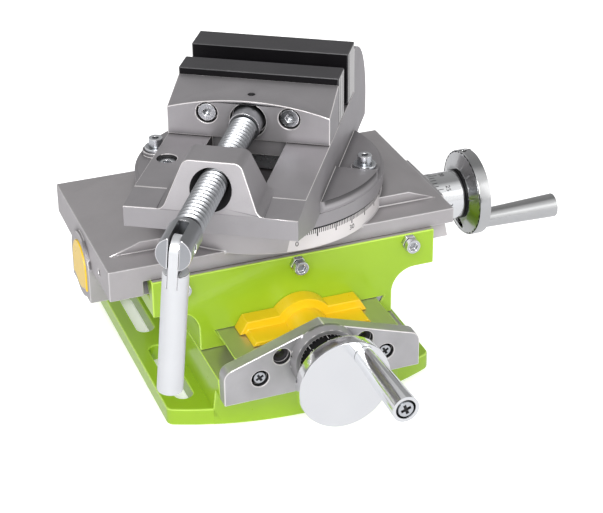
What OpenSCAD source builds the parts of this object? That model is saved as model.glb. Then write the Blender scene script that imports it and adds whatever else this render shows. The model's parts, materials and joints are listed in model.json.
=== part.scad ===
// Cross slide vise: base, saddle and table on dovetail ways, with a swivel vise on top.
// Origin at the middle of the base's underside, +X right along the table, -Y front, +Z up.

/* [Base] */
// Width of the base plate
base_w = 130; // [124:1:160]
// Depth of the base plate along its straight sides
base_d = 123; // [116:1:150]
// Thickness of the base plate
base_t = 8.5; // [6:0.5:12]
// How far the front edge of the base bows forward
base_bow = 14.5; // [8:0.5:20]
// Radius of the base plate's corners
base_corner_r = 4; // [3:1:12]
// Width of a mounting slot
slot_w = 8.5; // [6:0.5:9]
// Length of a mounting slot
slot_len = 49; // [30:1:52]
// Distance of the slots from the base's side
slot_inset = 10.7; // [8:0.1:12]
// Distance of a slot's middle from the base's middle
slot_y = 31.25; // [27:0.25:33]
// Width of the base's flange beside the way block's shoulder
base_flange_w = 17.7; // [16:0.1:24]
// Height of the way block's shoulders
way_z = 33; // [30:0.5:36]
// How far the way block's foot is drawn in on each side
way_draft = 1.8; // [0:0.1:3]
// How far the way block stands in front of the base plate's straight sides
way_reach = 21.5; // [16:0.5:26]

/* [Dovetails] */
// Width of the way block's shoulder beside the top of its dovetail
y_shoulder_w = 7.9; // [6:0.1:12]
// Height of the base's dovetail
y_dove_h = 9; // [7:0.5:10]
// Width across the bottom of the table's dovetail
x_dove_w = 82; // [76:0.5:84]
// Height of the table's dovetail
x_dove_h = 10; // [8:0.5:11]
// Angle of the dovetail flanks
dove_angle = 60; // [50:1:70]
// Thickness of the gibs, measured level
gib_t = 3.2; // [2.5:0.1:3.6]
// Running clearance between sliding faces
slide_gap = 0.15; // [0.1:0.05:0.3]

/* [Saddle] */
// Depth of the saddle, front to back
saddle_d = 98; // [94:1:104]
// How far each wing of the saddle overhangs the base plate
wing_over = 3; // [0:0.5:5]
// Thickness of the saddle's wings
wing_t = 17.8; // [14:0.2:19]
// Radius of the hollow under each wing
wing_hollow_r = 11.5; // [8:0.5:12]
// Height of the saddle, shoulder to top face
saddle_h = 39.6; // [38:0.2:44]
// Distance from the front of the ways to the middle of the saddle
saddle_reach = 74.5; // [73:0.5:105]

/* [Table] */
// Length of the table left of the swivel axis
table_left = 86.5; // [84:0.5:96]
// Length of the table right of the swivel axis
table_right = 79; // [78:0.5:90]
// Depth of the table
table_d = 93; // [90:1:97]
// Thickness of the table's edge
table_t = 7.5; // [6:0.5:9]
// Height of the table's raised middle above its edge
crown_h = 5; // [3:0.5:6]
// Depth of the table's raised middle
crown_d = 66; // [60:1:76]
// Length of the ramps at the ends of the raised middle
ramp_len = 17; // [10:1:20]
// Thickness of the block under the table's left end
end_block_t = 15.5; // [12:0.5:16]
// Height of the end block below the table's edge
end_block_h = 7.2; // [5:0.2:8]
// Radius of the graduated swivel boss
boss_r = 57; // [56.5:0.5:62]
// Height of the swivel boss above the table's edge
boss_h = 9.5; // [9:0.5:12]

/* [Lead screws] */
// Radius of both lead screws
lead_r = 5; // [4:0.5:5.5]
// Height of the Y lead screw's axis below the top of the base's dovetail
y_axis_drop = 3; // [2:0.5:5]
// Height of the X lead screw's axis below the bottom of the table's dovetail
x_axis_drop = 1.5; // [0:0.5:3]
// Radius of the round nut on the Y screw
y_nut_r = 8.4; // [7.5:0.1:8.6]
// Radius of the round nut on the X screw
x_nut_r = 12.5; // [11:0.1:12.8]
// Length of the lead screw nuts
nut_len = 18; // [12:1:22]
// Clearance of a shaft in its bore, on the radius
shaft_gap = 0.06; // [0.03:0.01:0.1]
// Clearance around parts that pass without touching
free_gap = 0.5; // [0.4:0.1:0.8]
// Thickness of both bearing brackets
bracket_t = 7; // [5:0.5:9]

/* [Handwheels] */
// Radius of the handwheels
wheel_r = 21.35; // [18:0.05:22]
// Thickness of the handwheel's rim
rim_t = 6.2; // [5:0.1:8]
// Depth of the cone behind the rim
cone_t = 2.6; // [2:0.1:4]
// Radius of the dials
dial_r = 12; // [10:0.1:12.2]
// Length of the dials
dial_len = 15.4; // [12:0.1:18]
// Thickness of the dark spacer behind the wheel
spacer_t = 1.6; // [1:0.1:3]
// Distance of the crank from the wheel's axis
crank_r = 15.5; // [13:0.1:15.7]
// Length of a crank handle
crank_len = 44; // [35:1:50]
// Radius of a crank handle at the wheel
crank_root_r = 4.6; // [3.4:0.1:5.4]
// Radius of a crank handle at its end
crank_end_r = 6; // [5:0.1:6.2]
// Angle of the Y crank at rest
y_crank_angle = 57; // [0:1:360]
// Angle of the X crank at rest
x_crank_angle = -11; // [-180:1:180]

/* [Swivel vise] */
// Angle of the vise on the table at rest
swivel_angle = -32.5; // [-60:0.5:60]
// Width of the jaws and the vise body
jaw_w = 75; // [70:1:82]
// Radius of the swivel flange
flange_r = 58; // [57:0.5:62]
// Thickness of the swivel flange
flange_t = 7.7; // [6:0.1:9]
// Height of the raised ear on the flange
ear_h = 4; // [2:0.5:6]
// Height of the rail tops above the swivel boss
rail_h = 28.5; // [26:0.5:32]
// Reach of the vise body in front of the swivel axis
vise_front = 91.3; // [88:0.1:98]
// Reach of the fixed jaw's front face behind the swivel axis
fixed_face = 41.3; // [39:0.1:44]
// Radius of the rounded back of the fixed jaw
fixed_back_r = 38; // [34:0.5:42]
// Width of the slot between the rails
rail_slot_w = 35; // [30:1:38]
// Width of the undercut below the rails
undercut_w = 46; // [42:1:50]
// Height of the undercut below the rail tops
rail_lip = 8; // [6:0.5:10]
// Depth of the slot below the rail tops
rail_slot_h = 16.5; // [15:0.5:17.5]
// Distance of the swivel clamp screws from the swivel axis
clamp_r = 49.8; // [48:0.1:51]
// Radius of the swivel pivot pin
pivot_r = 8; // [6:0.5:9]

/* [Jaws] */
// Gap between the jaw plates at rest
jaw_gap = 10.7; // [4:0.1:30]
// Thickness of the moving jaw plate
moving_plate_t = 13.2; // [10:0.1:15]
// Thickness of the fixed jaw plate
fixed_plate_t = 16.3; // [12:0.1:18]
// Height of the moving jaw plate
moving_plate_h = 23.8; // [20:0.1:26]
// Height of the fixed jaw plate
fixed_plate_h = 26; // [22:0.1:28]
// Thickness of the moving jaw casting behind its plate
moving_jaw_t = 21.9; // [18:0.1:26]
// Height of the moving jaw's shoulders above the rails
moving_shoulder_h = 13.5; // [12:0.1:15]
// Height of the moving jaw's crown above its shoulders
moving_crown_h = 5.5; // [3:0.1:6]
// Height of the jaw screws above the rails
jaw_screw_h = 11.8; // [11:0.1:12.6]
// Distance of the jaw screws from the middle
jaw_screw_u = 19; // [15:0.5:24]

/* [Vise screw] */
// Radius of the vise screw
screw_r = 6.2; // [5.6:0.1:6.8]
// Height of the vise screw's axis above the rails
screw_h = 9.5; // [9:0.1:10]
// Width of the bridge at its foot
bridge_w = 42; // [38:1:46]
// Width of the bridge at its top
bridge_top_w = 24.4; // [22:0.2:28]
// Height of the bridge above the rails
bridge_h = 20; // [19:0.5:24]
// Thickness of the bridge at its foot
bridge_t = 24; // [20:0.5:26]
// Reach of the fork pin in front of the moving jaw
fork_reach = 120.2; // [116:0.1:130]
// Radius of the fork pin
fork_pin_r = 2.4; // [2:0.1:3]
// Width of the slot in the fork
fork_slot_w = 4.6; // [4:0.1:5.4]
// Turn of the vise screw at rest
screw_turn = 5; // [0:1:15]
// Radius of the swing handle's bar
bar_r = 5.4; // [4.5:0.05:6]
// Length of the swing handle, fork pin to end
bar_len = 66; // [50:1:66]

/* [Hidden] */
$fn = 64;
eps = 0.01;
long = 400;

lime = "#a6d22f";
yellow = "#f5c818";
cast = "#a09a9c";
black = "#202022";
zinc = "#c9ccd2";
bright = "#e2e4e8";
bronze = "#b08a4a";

// Levels
way_top = way_z + y_dove_h;
y_axis_z = way_top - y_axis_drop;
saddle_bottom = way_z + slide_gap;
saddle_top = saddle_bottom + saddle_h;
table_z = saddle_top + slide_gap;
x_dove_bottom = table_z - x_dove_h;
x_axis_z = x_dove_bottom - x_axis_drop;
table_top = table_z + table_t;
boss_top = table_top + boss_h;
flange_z = boss_top + 2 * slide_gap;
flange_top = flange_z + flange_t;
rail_z = boss_top + rail_h;
screw_z = rail_z + screw_h;

// Base outline
way_w = base_w - 2 * base_flange_w;
way_foot = way_w / 2 - way_draft;
y_dove_w = way_w - 2 * y_shoulder_w;
slot_x = base_w / 2 - slot_inset;
bow_r = (pow(base_w / 2, 2) + pow(base_bow, 2)) / (2 * base_bow);
bow_y = bow_r - base_d / 2 - base_bow;
corner_x = base_w / 2 - base_corner_r;
corner_y = bow_y - sqrt(pow(bow_r - base_corner_r, 2) - pow(corner_x, 2));
way_front = -base_d / 2 - way_reach;
saddle_y = way_front + saddle_reach;
saddle_w = base_w + 2 * wing_over;
channel_w = 2 * (y_nut_r + 3 * free_gap);
channel_z = y_axis_z - y_nut_r - 4 * free_gap;
bracket_front = way_front - bracket_t;
bracket_w = way_w - 1.2;
bracket_foot = 23;
bracket_end_z = way_z + 6.5;
bracket_peak = way_top + 13;
bracket_end_r = 5;
bracket_screw_x = way_w / 2 - 17.3;
bracket_screw_z = way_z + 0.7;
spare_hole_x = 19.7;
spare_hole_z = way_top + 0.7;
ring_r = dial_r + 2.6;
ring_t = 4;
bush_r = lead_r + 3;
lean = way_reach - base_bow;

// Front cover over the Y screw
cover_half = y_dove_w / 2 - 8.4;
cover_upper_t = 8.5;
cover_lower_t = 20;
cover_upper_h = 6.4;
cover_lower_h = 2.4;
cover_upper_lean = 3.7;
cover_lower_inset = 2.4;
cover_lower_lean = 4;
cover_arch_step = 4.2;
cover_arch_r = y_nut_r + 6.8;
nut_seat = 0.1;
y_nut_inset = 12;

// Dovetail half widths
function flank(h) = h / tan(dove_angle);
y_dove_root = y_dove_w / 2 - flank(y_dove_h);
x_dove_root = x_dove_w / 2 - flank(x_dove_h);

// Screws shared by several places
pan_sink_r = 4;
pan_sink_t = 3;
pan_root_r = 3.4;
pan_top_r = 2.6;
pan_t = 2.2;
pan_len = 15;
spare_hole_r = 2.2;
gib_screw_r = 2;
gib_head_r = 3.4;
gib_nut_r = 4;
gib_nut_t = 2.6;
gib_stick = 5.4;
gib_head_t = 3;
gib_socket_r = 1.6;
x_gib_screw_x = saddle_w / 2 - 13;
x_gib_screw_z = saddle_top - 3.9;
y_gib_screw_y = saddle_d / 2 - 22;
y_gib_screw_z = way_z + y_dove_h / 2 + 0.4;

// X bracket and travel
x_bracket_w = 42;
x_bracket_top = table_z + 0.7;
trough_r = x_nut_r + 0.3;
x_screw_y = 15;
x_screw_z = table_z - 5;
plug_w = 23;
plug_bottom = x_axis_z - 9;
plug_rim = 4;
plug_reach = 1.6;
plug_proud = 0.6;
plug_depth = 4;
end_hole_r = 1.8;
end_hole_y = 17;
end_hole_z = x_axis_z + 10.5;

// Vise levels, in the vise's own frame
fold_v = -vise_front + 17;
nose_slope = 32;
fixed_back_v = fixed_face - 4.8;
fixed_back_z = rail_z - 15.5;
moving_back = fixed_face - fixed_plate_t - jaw_gap;
moving_face = moving_back - moving_plate_t;
moving_front = moving_face - moving_jaw_t;
plate_lift = 0.4;
fork_v = moving_front - fork_reach;
bridge_back = -vise_front + bridge_t;
bridge_lean = 5.8;
bridge_back_lean = 3;
bridge_sink_r = 10.6;
bridge_round_r = 4;
lip_drop = 1.2;
lip_h = 10.5;
sunk = 1.5;
nose_r = 5;
nose_len = 13;
neck_r = 7.1;
neck_len = 8;
neck_sink = 5;
groove_r = 3.4;
groove_w = 3.6;
pin_r = 1.4;
pin_v = moving_front + 8;
slot_floor = rail_z - rail_slot_h;
undercut_z = rail_z - rail_lip;
jaw_screw_z = rail_z + jaw_screw_h;
socket_head_r = 4.2;
socket_head_t = 4.2;
socket_shank_r = 2.4;
sink_r = 5;
jaw_sink_start = 10;
jaw_cut = 40;
washer_r = 5.4;
washer_t = 1.5;
pad_h = 2;
rail_screw_v = 45.3;
keeper_u = 10;
clamp_shank_r = 3;
t_nut_r = 4.6;
t_nut_t = 3;
t_neck = clamp_shank_r + free_gap;
t_floor = table_top + 2.4;
t_roof = t_floor + t_nut_t + 2 * slide_gap;
fork_r = 7.3;
fork_len = 18;
fork_tip = 6;
fork_slot_end = 9.5;
tab_r = 5.4;
tab_len = 16;
pin_cut = 10;
bar_start = 10.5;

// Places a child on an axis; the child is drawn along its own +Z.
module on_y_axis() { translate([0, bracket_front, y_axis_z]) rotate([90, 0, 0]) children(); }
module on_x_axis() { translate([table_right + bracket_t, saddle_y, x_axis_z]) rotate([0, 90, 0]) children(); }
module in_vise() { translate([0, saddle_y, 0]) rotate(swivel_angle) children(); }
module in_screw() {
    translate([0, 0, screw_z]) rotate([0, screw_turn, 0]) translate([0, 0, -screw_z]) children();
}

// Extrudes an XZ outline along Y, from y0 to y1
module along_y(y0, y1) { translate([0, y1, 0]) rotate([90, 0, 0]) linear_extrude(y1 - y0) children(); }
// Extrudes a YZ outline along X, from x0 to x1
module along_x(x0, x1) {
    translate([x0, 0, 0]) rotate([90, 0, 90]) linear_extrude(x1 - x0) children();
}
// Round bar along Y or X between two places
module bar_y(r, y0, y1) { translate([0, y1, 0]) rotate([90, 0, 0]) cylinder(r = r, h = y1 - y0); }
module bar_x(r, x0, x1) { translate([x0, 0, 0]) rotate([0, 90, 0]) cylinder(r = r, h = x1 - x0); }
module box(low, high) { translate(low) cube(high - low); }
module hex(r, h) { cylinder(r = r, h = h, $fn = 6); }

// Screw drawn along +Z with its head on top; z = 0 is the seat of the head
module cap_screw(head_r, head_t, shank_r, shank_len, socket_r) {
    difference() {
        union() {
            cylinder(r = head_r, h = head_t);
            translate([0, 0, -shank_len]) cylinder(r = shank_r, h = shank_len + eps);
        }
        translate([0, 0, head_t * 0.4]) hex(socket_r, head_t);
    }
}

// Male dovetail outline, wide edge at height h and narrow root at 0
module dovetail(half_root, half_wide, h, room_left, room_right) {
    polygon([
        [-half_root - room_left, 0], [half_root + room_right, 0],
        [half_wide + room_right, h], [-half_wide - room_left, h]
    ]);
}

// Slot outline with round ends, along Y
module slot_outline() {
    reach = slot_len / 2 - slot_w / 2;
    square([slot_w, 2 * reach], center = true);
    for (s = [-1, 1]) translate([0, s * reach]) circle(d = slot_w);
}

// Base
module base_outline() {
    back = base_d / 2;
    tangent_x = corner_x * bow_r / (bow_r - base_corner_r);
    intersection() {
        union() {
            translate([-base_w / 2, corner_y]) square([base_w, back - base_corner_r - corner_y]);
            translate([-tangent_x, -base_d]) square([2 * tangent_x, base_d]);
            translate([-corner_x, 0]) square([2 * corner_x, back]);
            for (s = [-1, 1], y = [corner_y, back - base_corner_r])
                translate([s * corner_x, y]) circle(base_corner_r);
        }
        translate([0, bow_y]) circle(bow_r, $fn = 180);
    }
}

// Flange on one side of the way block, with its two mounting slots
module base_flange(side) {
    color(lime) linear_extrude(base_t) difference() {
        base_outline();
        translate([side > 0 ? -base_w : -way_foot, -base_d]) square([base_w + way_foot, 2 * base_d]);
        for (s = [-1, 1]) translate([side * slot_x, s * slot_y]) slot_outline();
    }
}

module base_flange_left() { base_flange(-1); }
module base_flange_right() { base_flange(1); }

module way_section() {
    half = way_w / 2;
    polygon([
        [-way_foot, 0], [way_foot, 0], [way_foot, base_t], [half, way_z],
        [-half, way_z], [-way_foot, base_t]
    ]);
    translate([0, way_z - eps]) dovetail(y_dove_root, y_dove_w / 2, y_dove_h + eps, 0, 0);
}

module way_block() {
    color(lime) difference() {
        intersection() {
            along_y(way_front, base_d / 2) way_section();
            union() {
                translate([0, bow_y, 0]) cylinder(r = bow_r, h = base_t + eps, $fn = 180);
                translate([0, bow_y, base_t])
                    cylinder(r1 = bow_r, r2 = bow_r + lean, h = bracket_foot - base_t, $fn = 180);
                box([-way_w, way_front, bracket_foot - eps], [way_w, base_d, long]);
            }
        }
        box([-channel_w / 2, way_front - 1, channel_z], [channel_w / 2, base_d, way_top + 1]);
        for (s = [-1, 1])
            translate([s * bracket_screw_x, way_front - 1, bracket_screw_z]) bar_y(gib_screw_r, 0, pan_len);
    }
}

module bracket_outline() {
    half = bracket_w / 2;
    slope = atan2(bracket_peak - bracket_end_z, half);
    round_z = bracket_end_z + bracket_end_r * (tan(slope) - 1 / cos(slope));
    roof_x = half - bracket_end_r + bracket_end_r * sin(slope);
    roof_z = round_z + bracket_end_r * cos(slope);
    polygon([
        [-half, bracket_foot], [half, bracket_foot], [half, round_z], [roof_x, roof_z],
        [0, bracket_peak], [-roof_x, roof_z], [-half, round_z]
    ]);
    for (s = [-1, 1]) translate([s * (half - bracket_end_r), round_z]) circle(bracket_end_r);
}

module y_bracket() {
    color(cast) difference() {
        union() {
            along_y(bracket_front, way_front) bracket_outline();
            on_y_axis() cylinder(r1 = ring_r + 1.4, r2 = ring_r, h = ring_t);
        }
        on_y_axis() {
            translate([0, 0, eps]) cylinder(r = dial_r + free_gap, h = ring_t);
            translate([0, 0, -bracket_t - 1]) cylinder(r = bush_r, h = bracket_t + 2);
        }
        for (s = [-1, 1]) {
            translate([s * bracket_screw_x, 0, bracket_screw_z]) {
                bar_y(gib_screw_r + 0.2, bracket_front - 1, way_front + 1);
                bar_y(pan_sink_r, bracket_front - 1, bracket_front + pan_sink_t);
            }
            translate([s * spare_hole_x, 0, spare_hole_z]) {
                bar_y(spare_hole_r, bracket_front - 1, way_front + 1);
                bar_y(pan_sink_r, bracket_front - 1, bracket_front + pan_sink_t);
            }
        }
    }
}

module y_bracket_screws() {
    color(zinc) for (s = [-1, 1])
        translate([s * bracket_screw_x, bracket_front + pan_sink_t, bracket_screw_z])
            rotate([90, 0, 0]) pan_screw();
}

// Screw with a low head, drawn along +Z from the seat of its head
module pan_screw() {
    cylinder(r1 = pan_root_r, r2 = pan_top_r, h = pan_t);
    translate([0, 0, -pan_len]) cylinder(r = gib_screw_r - shaft_gap, h = pan_len + eps);
}

module bush() {
    difference() {
        translate([0, 0, -bracket_t]) cylinder(r = bush_r, h = bracket_t);
        translate([0, 0, -bracket_t - 1]) cylinder(r = lead_r + shaft_gap, h = bracket_t + 2);
    }
}

module y_bush() { color(bronze) on_y_axis() bush(); }
module x_bush() { color(bronze) on_x_axis() bush(); }

// Saddle
module saddle_section() {
    leg = way_w / 2 - 0.3;
    wing_z = saddle_top - wing_t;
    hollow_x = leg + wing_hollow_r;
    difference() {
        polygon([
            [-leg, saddle_bottom], [leg, saddle_bottom], [leg, wing_z - wing_hollow_r], [hollow_x, wing_z],
            [saddle_w / 2, wing_z], [saddle_w / 2, saddle_top],
            [-saddle_w / 2, saddle_top], [-saddle_w / 2, wing_z], [-hollow_x, wing_z],
            [-leg, wing_z - wing_hollow_r]
        ]);
        for (s = [-1, 1]) translate([s * hollow_x, wing_z - wing_hollow_r]) circle(wing_hollow_r);
    }
}

// Room cut in the saddle for the base's dovetail, with the gib on the right
module y_way_room() {
    top = y_dove_h + slide_gap;
    translate([0, way_z])
        dovetail(y_dove_root, y_dove_w / 2 + flank(slide_gap), top, slide_gap, gib_t + 2 * slide_gap);
}

// Room cut in the saddle for the table's dovetail, with the gib on the front
module x_way_room() {
    depth = x_dove_h + 2 * slide_gap;
    translate([saddle_y, table_z]) mirror([0, 1])
        dovetail(x_dove_root, x_dove_w / 2 + flank(slide_gap), depth, gib_t + 2 * slide_gap, slide_gap);
}

module saddle_casting() {
    front = saddle_y - saddle_d / 2;
    back = saddle_y + saddle_d / 2;
    color(lime) difference() {
        along_y(front, back) saddle_section();
        along_y(front - 1, back + 1) y_way_room();
        along_x(-saddle_w, saddle_w) x_way_room();
        translate([0, 0, y_axis_z]) bar_y(y_nut_r + nut_seat, front - 1, back + 1);
        translate([0, saddle_y, x_axis_z]) bar_x(trough_r, -saddle_w, saddle_w);
        for (x = x_gib_places())
            translate([x, 0, x_gib_screw_z]) bar_y(gib_screw_r + 0.1, front - 1, saddle_y - x_dove_root - 2);
        for (s = [-1, 1])
            translate([0, saddle_y + s * y_gib_screw_y, y_gib_screw_z])
                bar_x(gib_screw_r + 0.1, y_dove_root, way_w);
    }
}

function x_gib_places() = [-x_gib_screw_x, 0, x_gib_screw_x];

module cover_outline(shoulder, half_foot, half_top, arch_r) {
    polygon([
        [-half_foot, way_top + slide_gap], [half_foot, way_top + slide_gap],
        [half_top, shoulder], [-half_top, shoulder]
    ]);
    intersection() {
        translate([0, y_axis_z]) circle(arch_r);
        translate([-arch_r, way_top + slide_gap]) square(2 * arch_r);
    }
}

module front_cover() {
    front = saddle_y - saddle_d / 2;
    color(yellow) difference() {
        union() {
            along_y(front - cover_upper_t, front)
                cover_outline(way_top + cover_upper_h, cover_half, cover_half - cover_upper_lean, cover_arch_r);
            along_y(front - cover_lower_t, front - cover_upper_t + eps)
                cover_outline(way_top + cover_lower_h, cover_half - cover_lower_inset,
                    cover_half - cover_lower_lean, cover_arch_r - cover_arch_step);
        }
        translate([0, 0, y_axis_z]) bar_y(y_nut_r + nut_seat, front - cover_lower_t - 1, front + 1);
    }
}

module x_gib() {
    color(zinc) along_x(-saddle_w / 2 + 1, saddle_w / 2 - 1)
        translate([saddle_y, table_z]) mirror([0, 1]) intersection() {
            difference() {
                dovetail(x_dove_root, x_dove_w / 2, x_dove_h, gib_t + slide_gap, 0);
                dovetail(x_dove_root, x_dove_w / 2, x_dove_h, slide_gap, 1);
            }
            translate([-long, 2 * slide_gap]) square([2 * long, x_dove_h - 2 * slide_gap]);
        }
}

module y_gib() {
    color(zinc) along_y(saddle_y - saddle_d / 2 + 1, saddle_y + saddle_d / 2 - 1)
        translate([0, way_z]) intersection() {
            difference() {
                dovetail(y_dove_root, y_dove_w / 2, y_dove_h, 0, gib_t + slide_gap);
                dovetail(y_dove_root, y_dove_w / 2, y_dove_h, 1, slide_gap);
            }
            translate([-long, 2 * slide_gap]) square([2 * long, y_dove_h - 3 * slide_gap]);
        }
}

// Gib screw along +Z; z = 0 is the face that the lock nut sits on
module gib_screw(reach) {
    translate([0, 0, gib_stick]) cap_screw(gib_head_r, gib_head_t, gib_screw_r, reach + gib_stick, gib_socket_r);
}

module gib_nut() {
    difference() {
        hex(gib_nut_r, gib_nut_t);
        translate([0, 0, -1]) cylinder(r = gib_screw_r + 0.1, h = gib_nut_t + 2);
    }
}

module at_x_gib() {
    for (x = x_gib_places())
        translate([x, saddle_y - saddle_d / 2, x_gib_screw_z]) rotate([90, 0, 0]) children();
}

module at_y_gib() {
    for (s = [-1, 1])
        translate([way_w / 2 - 0.3, saddle_y + s * y_gib_screw_y, y_gib_screw_z]) rotate([0, 90, 0]) children();
}

// Distance from the saddle's wall to the gib, at the height of the gib screws
x_gib_reach = saddle_d / 2 - (x_dove_root + flank(table_z - x_gib_screw_z) + gib_t + slide_gap) - gib_screw_r;
y_gib_reach = way_w / 2 - 0.3 - (y_dove_root + flank(y_gib_screw_z - way_z) + gib_t + slide_gap) - gib_screw_r;

module x_gib_screws() { color(zinc) at_x_gib() gib_screw(x_gib_reach); }
module x_gib_nuts() { color(zinc) at_x_gib() gib_nut(); }
module y_gib_screws() { color(zinc) at_y_gib() gib_screw(y_gib_reach); }
module y_gib_nuts() { color(zinc) at_y_gib() gib_nut(); }

module y_nut() {
    start = saddle_y - saddle_d / 2 + y_nut_inset;
    color(bronze) translate([0, 0, y_axis_z]) difference() {
        bar_y(y_nut_r, start, start + nut_len);
        bar_y(lead_r + shaft_gap, start - 1, start + nut_len + 1);
    }
}

module x_nut() {
    color(bronze) translate([0, saddle_y, x_axis_z]) difference() {
        bar_x(x_nut_r, -nut_len / 2, nut_len / 2);
        bar_x(lead_r + shaft_gap, -nut_len, nut_len);
    }
}

// Table
module arch_outline(half, bottom) {
    translate([saddle_y, x_axis_z]) circle(half);
    translate([saddle_y - half, bottom]) square([2 * half, x_axis_z - bottom]);
}

module crown_profile() {
    polygon([
        [-table_left + 1.5, table_top - 1], [-table_left + 1.5 + ramp_len, table_top + crown_h],
        [table_right - ramp_len, table_top + crown_h], [table_right - 0.5, table_top - 1]
    ]);
}

module table_casting() {
    front = saddle_y - table_d / 2;
    back = saddle_y + table_d / 2;
    color(cast) difference() {
        union() {
            box([-table_left, front, table_z], [table_right, back, table_top]);
            along_y(saddle_y - crown_d / 2, saddle_y + crown_d / 2) crown_profile();
            translate([0, saddle_y, table_top - 1]) cylinder(r = boss_r, h = boss_h + 1, $fn = 128);
            along_x(-table_left + end_block_t, table_right)
                translate([saddle_y, table_z + eps]) mirror([0, 1])
                    dovetail(x_dove_root, x_dove_w / 2, x_dove_h + eps, 0, 0);
            box([-table_left, front, table_z - end_block_h], [-table_left + end_block_t, back, table_z + eps]);
            along_x(-table_left - plug_reach, -table_left + end_block_t)
                arch_outline(plug_w / 2 + plug_rim, plug_bottom - plug_rim);
        }
        translate([0, saddle_y, x_axis_z]) bar_x(x_nut_r + free_gap, -table_left + end_block_t - 1, table_right + 1);
        along_x(-table_left - plug_reach - 1, -table_left + plug_depth) arch_outline(plug_w / 2, plug_bottom);
        translate([0, saddle_y, x_axis_z]) bar_x(lead_r + shaft_gap, -table_left, table_right);
        t_slot();
        translate([0, saddle_y, table_z + 3]) cylinder(r = pivot_r, h = long);
        translate([0, front + end_hole_y, end_hole_z]) bar_x(end_hole_r, -table_left - 1, -table_left + 8);
        for (s = [-1, 1])
            translate([0, saddle_y + s * x_screw_y, x_screw_z]) bar_x(gib_screw_r, table_right - pan_len, table_right + 1);
    }
}

// Round T slot that the swivel clamp nuts run in
module t_slot() {
    translate([0, saddle_y, 0]) rotate_extrude($fn = 128) {
        translate([clamp_r - t_neck, t_roof - eps]) square([2 * t_neck, long]);
        translate([clamp_r - t_nut_r - 0.4, t_floor]) square([2 * t_nut_r + 0.8, t_roof - t_floor]);
    }
}

module end_plug() {
    color(yellow) along_x(-table_left - plug_reach - plug_proud, -table_left + plug_depth)
        arch_outline(plug_w / 2 - 0.1, plug_bottom + 0.1);
}

module x_bracket_outline() {
    translate([saddle_y - x_bracket_w / 2, x_dove_bottom + 0.2])
        square([x_bracket_w, x_bracket_top - x_dove_bottom - 0.2]);
    translate([saddle_y, x_axis_z]) circle(x_nut_r - 0.2);
}

module x_bracket() {
    color(cast) difference() {
        along_x(table_right, table_right + bracket_t) x_bracket_outline();
        on_x_axis() translate([0, 0, -bracket_t - 1]) cylinder(r = bush_r, h = bracket_t + 2);
        for (s = [-1, 1])
            translate([0, saddle_y + s * x_screw_y, x_screw_z]) {
                bar_x(gib_screw_r + 0.2, table_right - 1, table_right + bracket_t + 1);
                bar_x(pan_sink_r, table_right + bracket_t - pan_sink_t, table_right + bracket_t + 1);
            }
    }
}

module x_bracket_screws() {
    color(zinc) for (s = [-1, 1])
        translate([table_right + bracket_t - pan_sink_t, saddle_y + s * x_screw_y, x_screw_z])
            rotate([0, 90, 0]) pan_screw();
}

module swivel_pin() {
    color(zinc) translate([0, saddle_y, table_z + 3]) cylinder(r = pivot_r - 0.02, h = slot_floor - table_z - 3.6);
}

// Handwheel set, drawn along +Z from the front face of its bracket
dial_z = 0.3;
spacer_z = dial_z + dial_len;
wheel_z = spacer_z + spacer_t;
wheel_face = wheel_z + cone_t + rim_t;
hub_r = 4;
set_z = wheel_z + cone_t + 2;
set_r = 1.45;
spindle_r = 1.95;
spindle_sink_r = 2.8;
spindle_head_r = 4;
spindle_head_t = 2.2;

module dial() {
    translate([0, 0, dial_z]) difference() {
        cylinder(r = dial_r, h = dial_len);
        translate([0, 0, -1]) cylinder(r = lead_r + 0.02, h = dial_len + 2);
    }
}

module spacer() {
    translate([0, 0, spacer_z]) difference() {
        cylinder(r = dial_r + 0.3, h = spacer_t);
        translate([0, 0, -1]) cylinder(r = hub_r + 0.02, h = spacer_t + 2);
    }
}

module handwheel(crank_angle) {
    difference() {
        translate([0, 0, wheel_z]) {
            cylinder(r1 = dial_r + 2, r2 = wheel_r - 1, h = cone_t + eps);
            translate([0, 0, cone_t]) cylinder(r = wheel_r, h = rim_t);
        }
        translate([0, 0, wheel_z - 1]) cylinder(r = hub_r + 0.02, h = wheel_face - wheel_z - 2);
        rotate(crank_angle) translate([crank_r, 0, wheel_z - 1]) {
            cylinder(r = spindle_r, h = wheel_face);
            cylinder(r = spindle_sink_r, h = cone_t + 3);
        }
        rotate(crank_angle + 180) translate([0, 0, set_z]) bar_x(set_r + 0.05, 0, wheel_r + 1);
    }
}

module set_screw(crank_angle) {
    rotate(crank_angle + 180) translate([0, 0, set_z]) difference() {
        bar_x(set_r, hub_r + 0.1, hub_r + 6);
        translate([hub_r + 4, 0, 0]) rotate([0, 90, 0]) hex(0.8, 4);
    }
}

module lead_screw(length) {
    translate([0, 0, -length]) cylinder(r = lead_r, h = length + spacer_z - 0.1);
    cylinder(r = hub_r, h = wheel_face - 3.2);
}

module collar() {
    translate([0, 0, -bracket_t - 5.2]) difference() {
        cylinder(r = bush_r - 0.6, h = 5);
        translate([0, 0, -1]) cylinder(r = lead_r + 0.02, h = 7);
    }
}

module crank_spindle(crank_angle) {
    rotate(crank_angle) translate([crank_r, 0, 0]) {
        translate([0, 0, wheel_face - rim_t + 2]) cylinder(r = spindle_r, h = crank_len + rim_t - 3.5);
        translate([0, 0, wheel_face + crank_len - 2])
            cylinder(r1 = spindle_head_r, r2 = spindle_head_r - 0.6, h = spindle_head_t);
    }
}

module crank_handle(crank_angle) {
    rotate(crank_angle) translate([crank_r, 0, wheel_face + 0.2]) difference() {
        cylinder(r1 = crank_root_r, r2 = crank_end_r, h = crank_len);
        translate([0, 0, -1]) cylinder(r = spindle_r + shaft_gap, h = crank_len + 2);
        translate([0, 0, crank_len - 2.6]) cylinder(r = spindle_head_r + 0.3, h = 4);
    }
}

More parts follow.
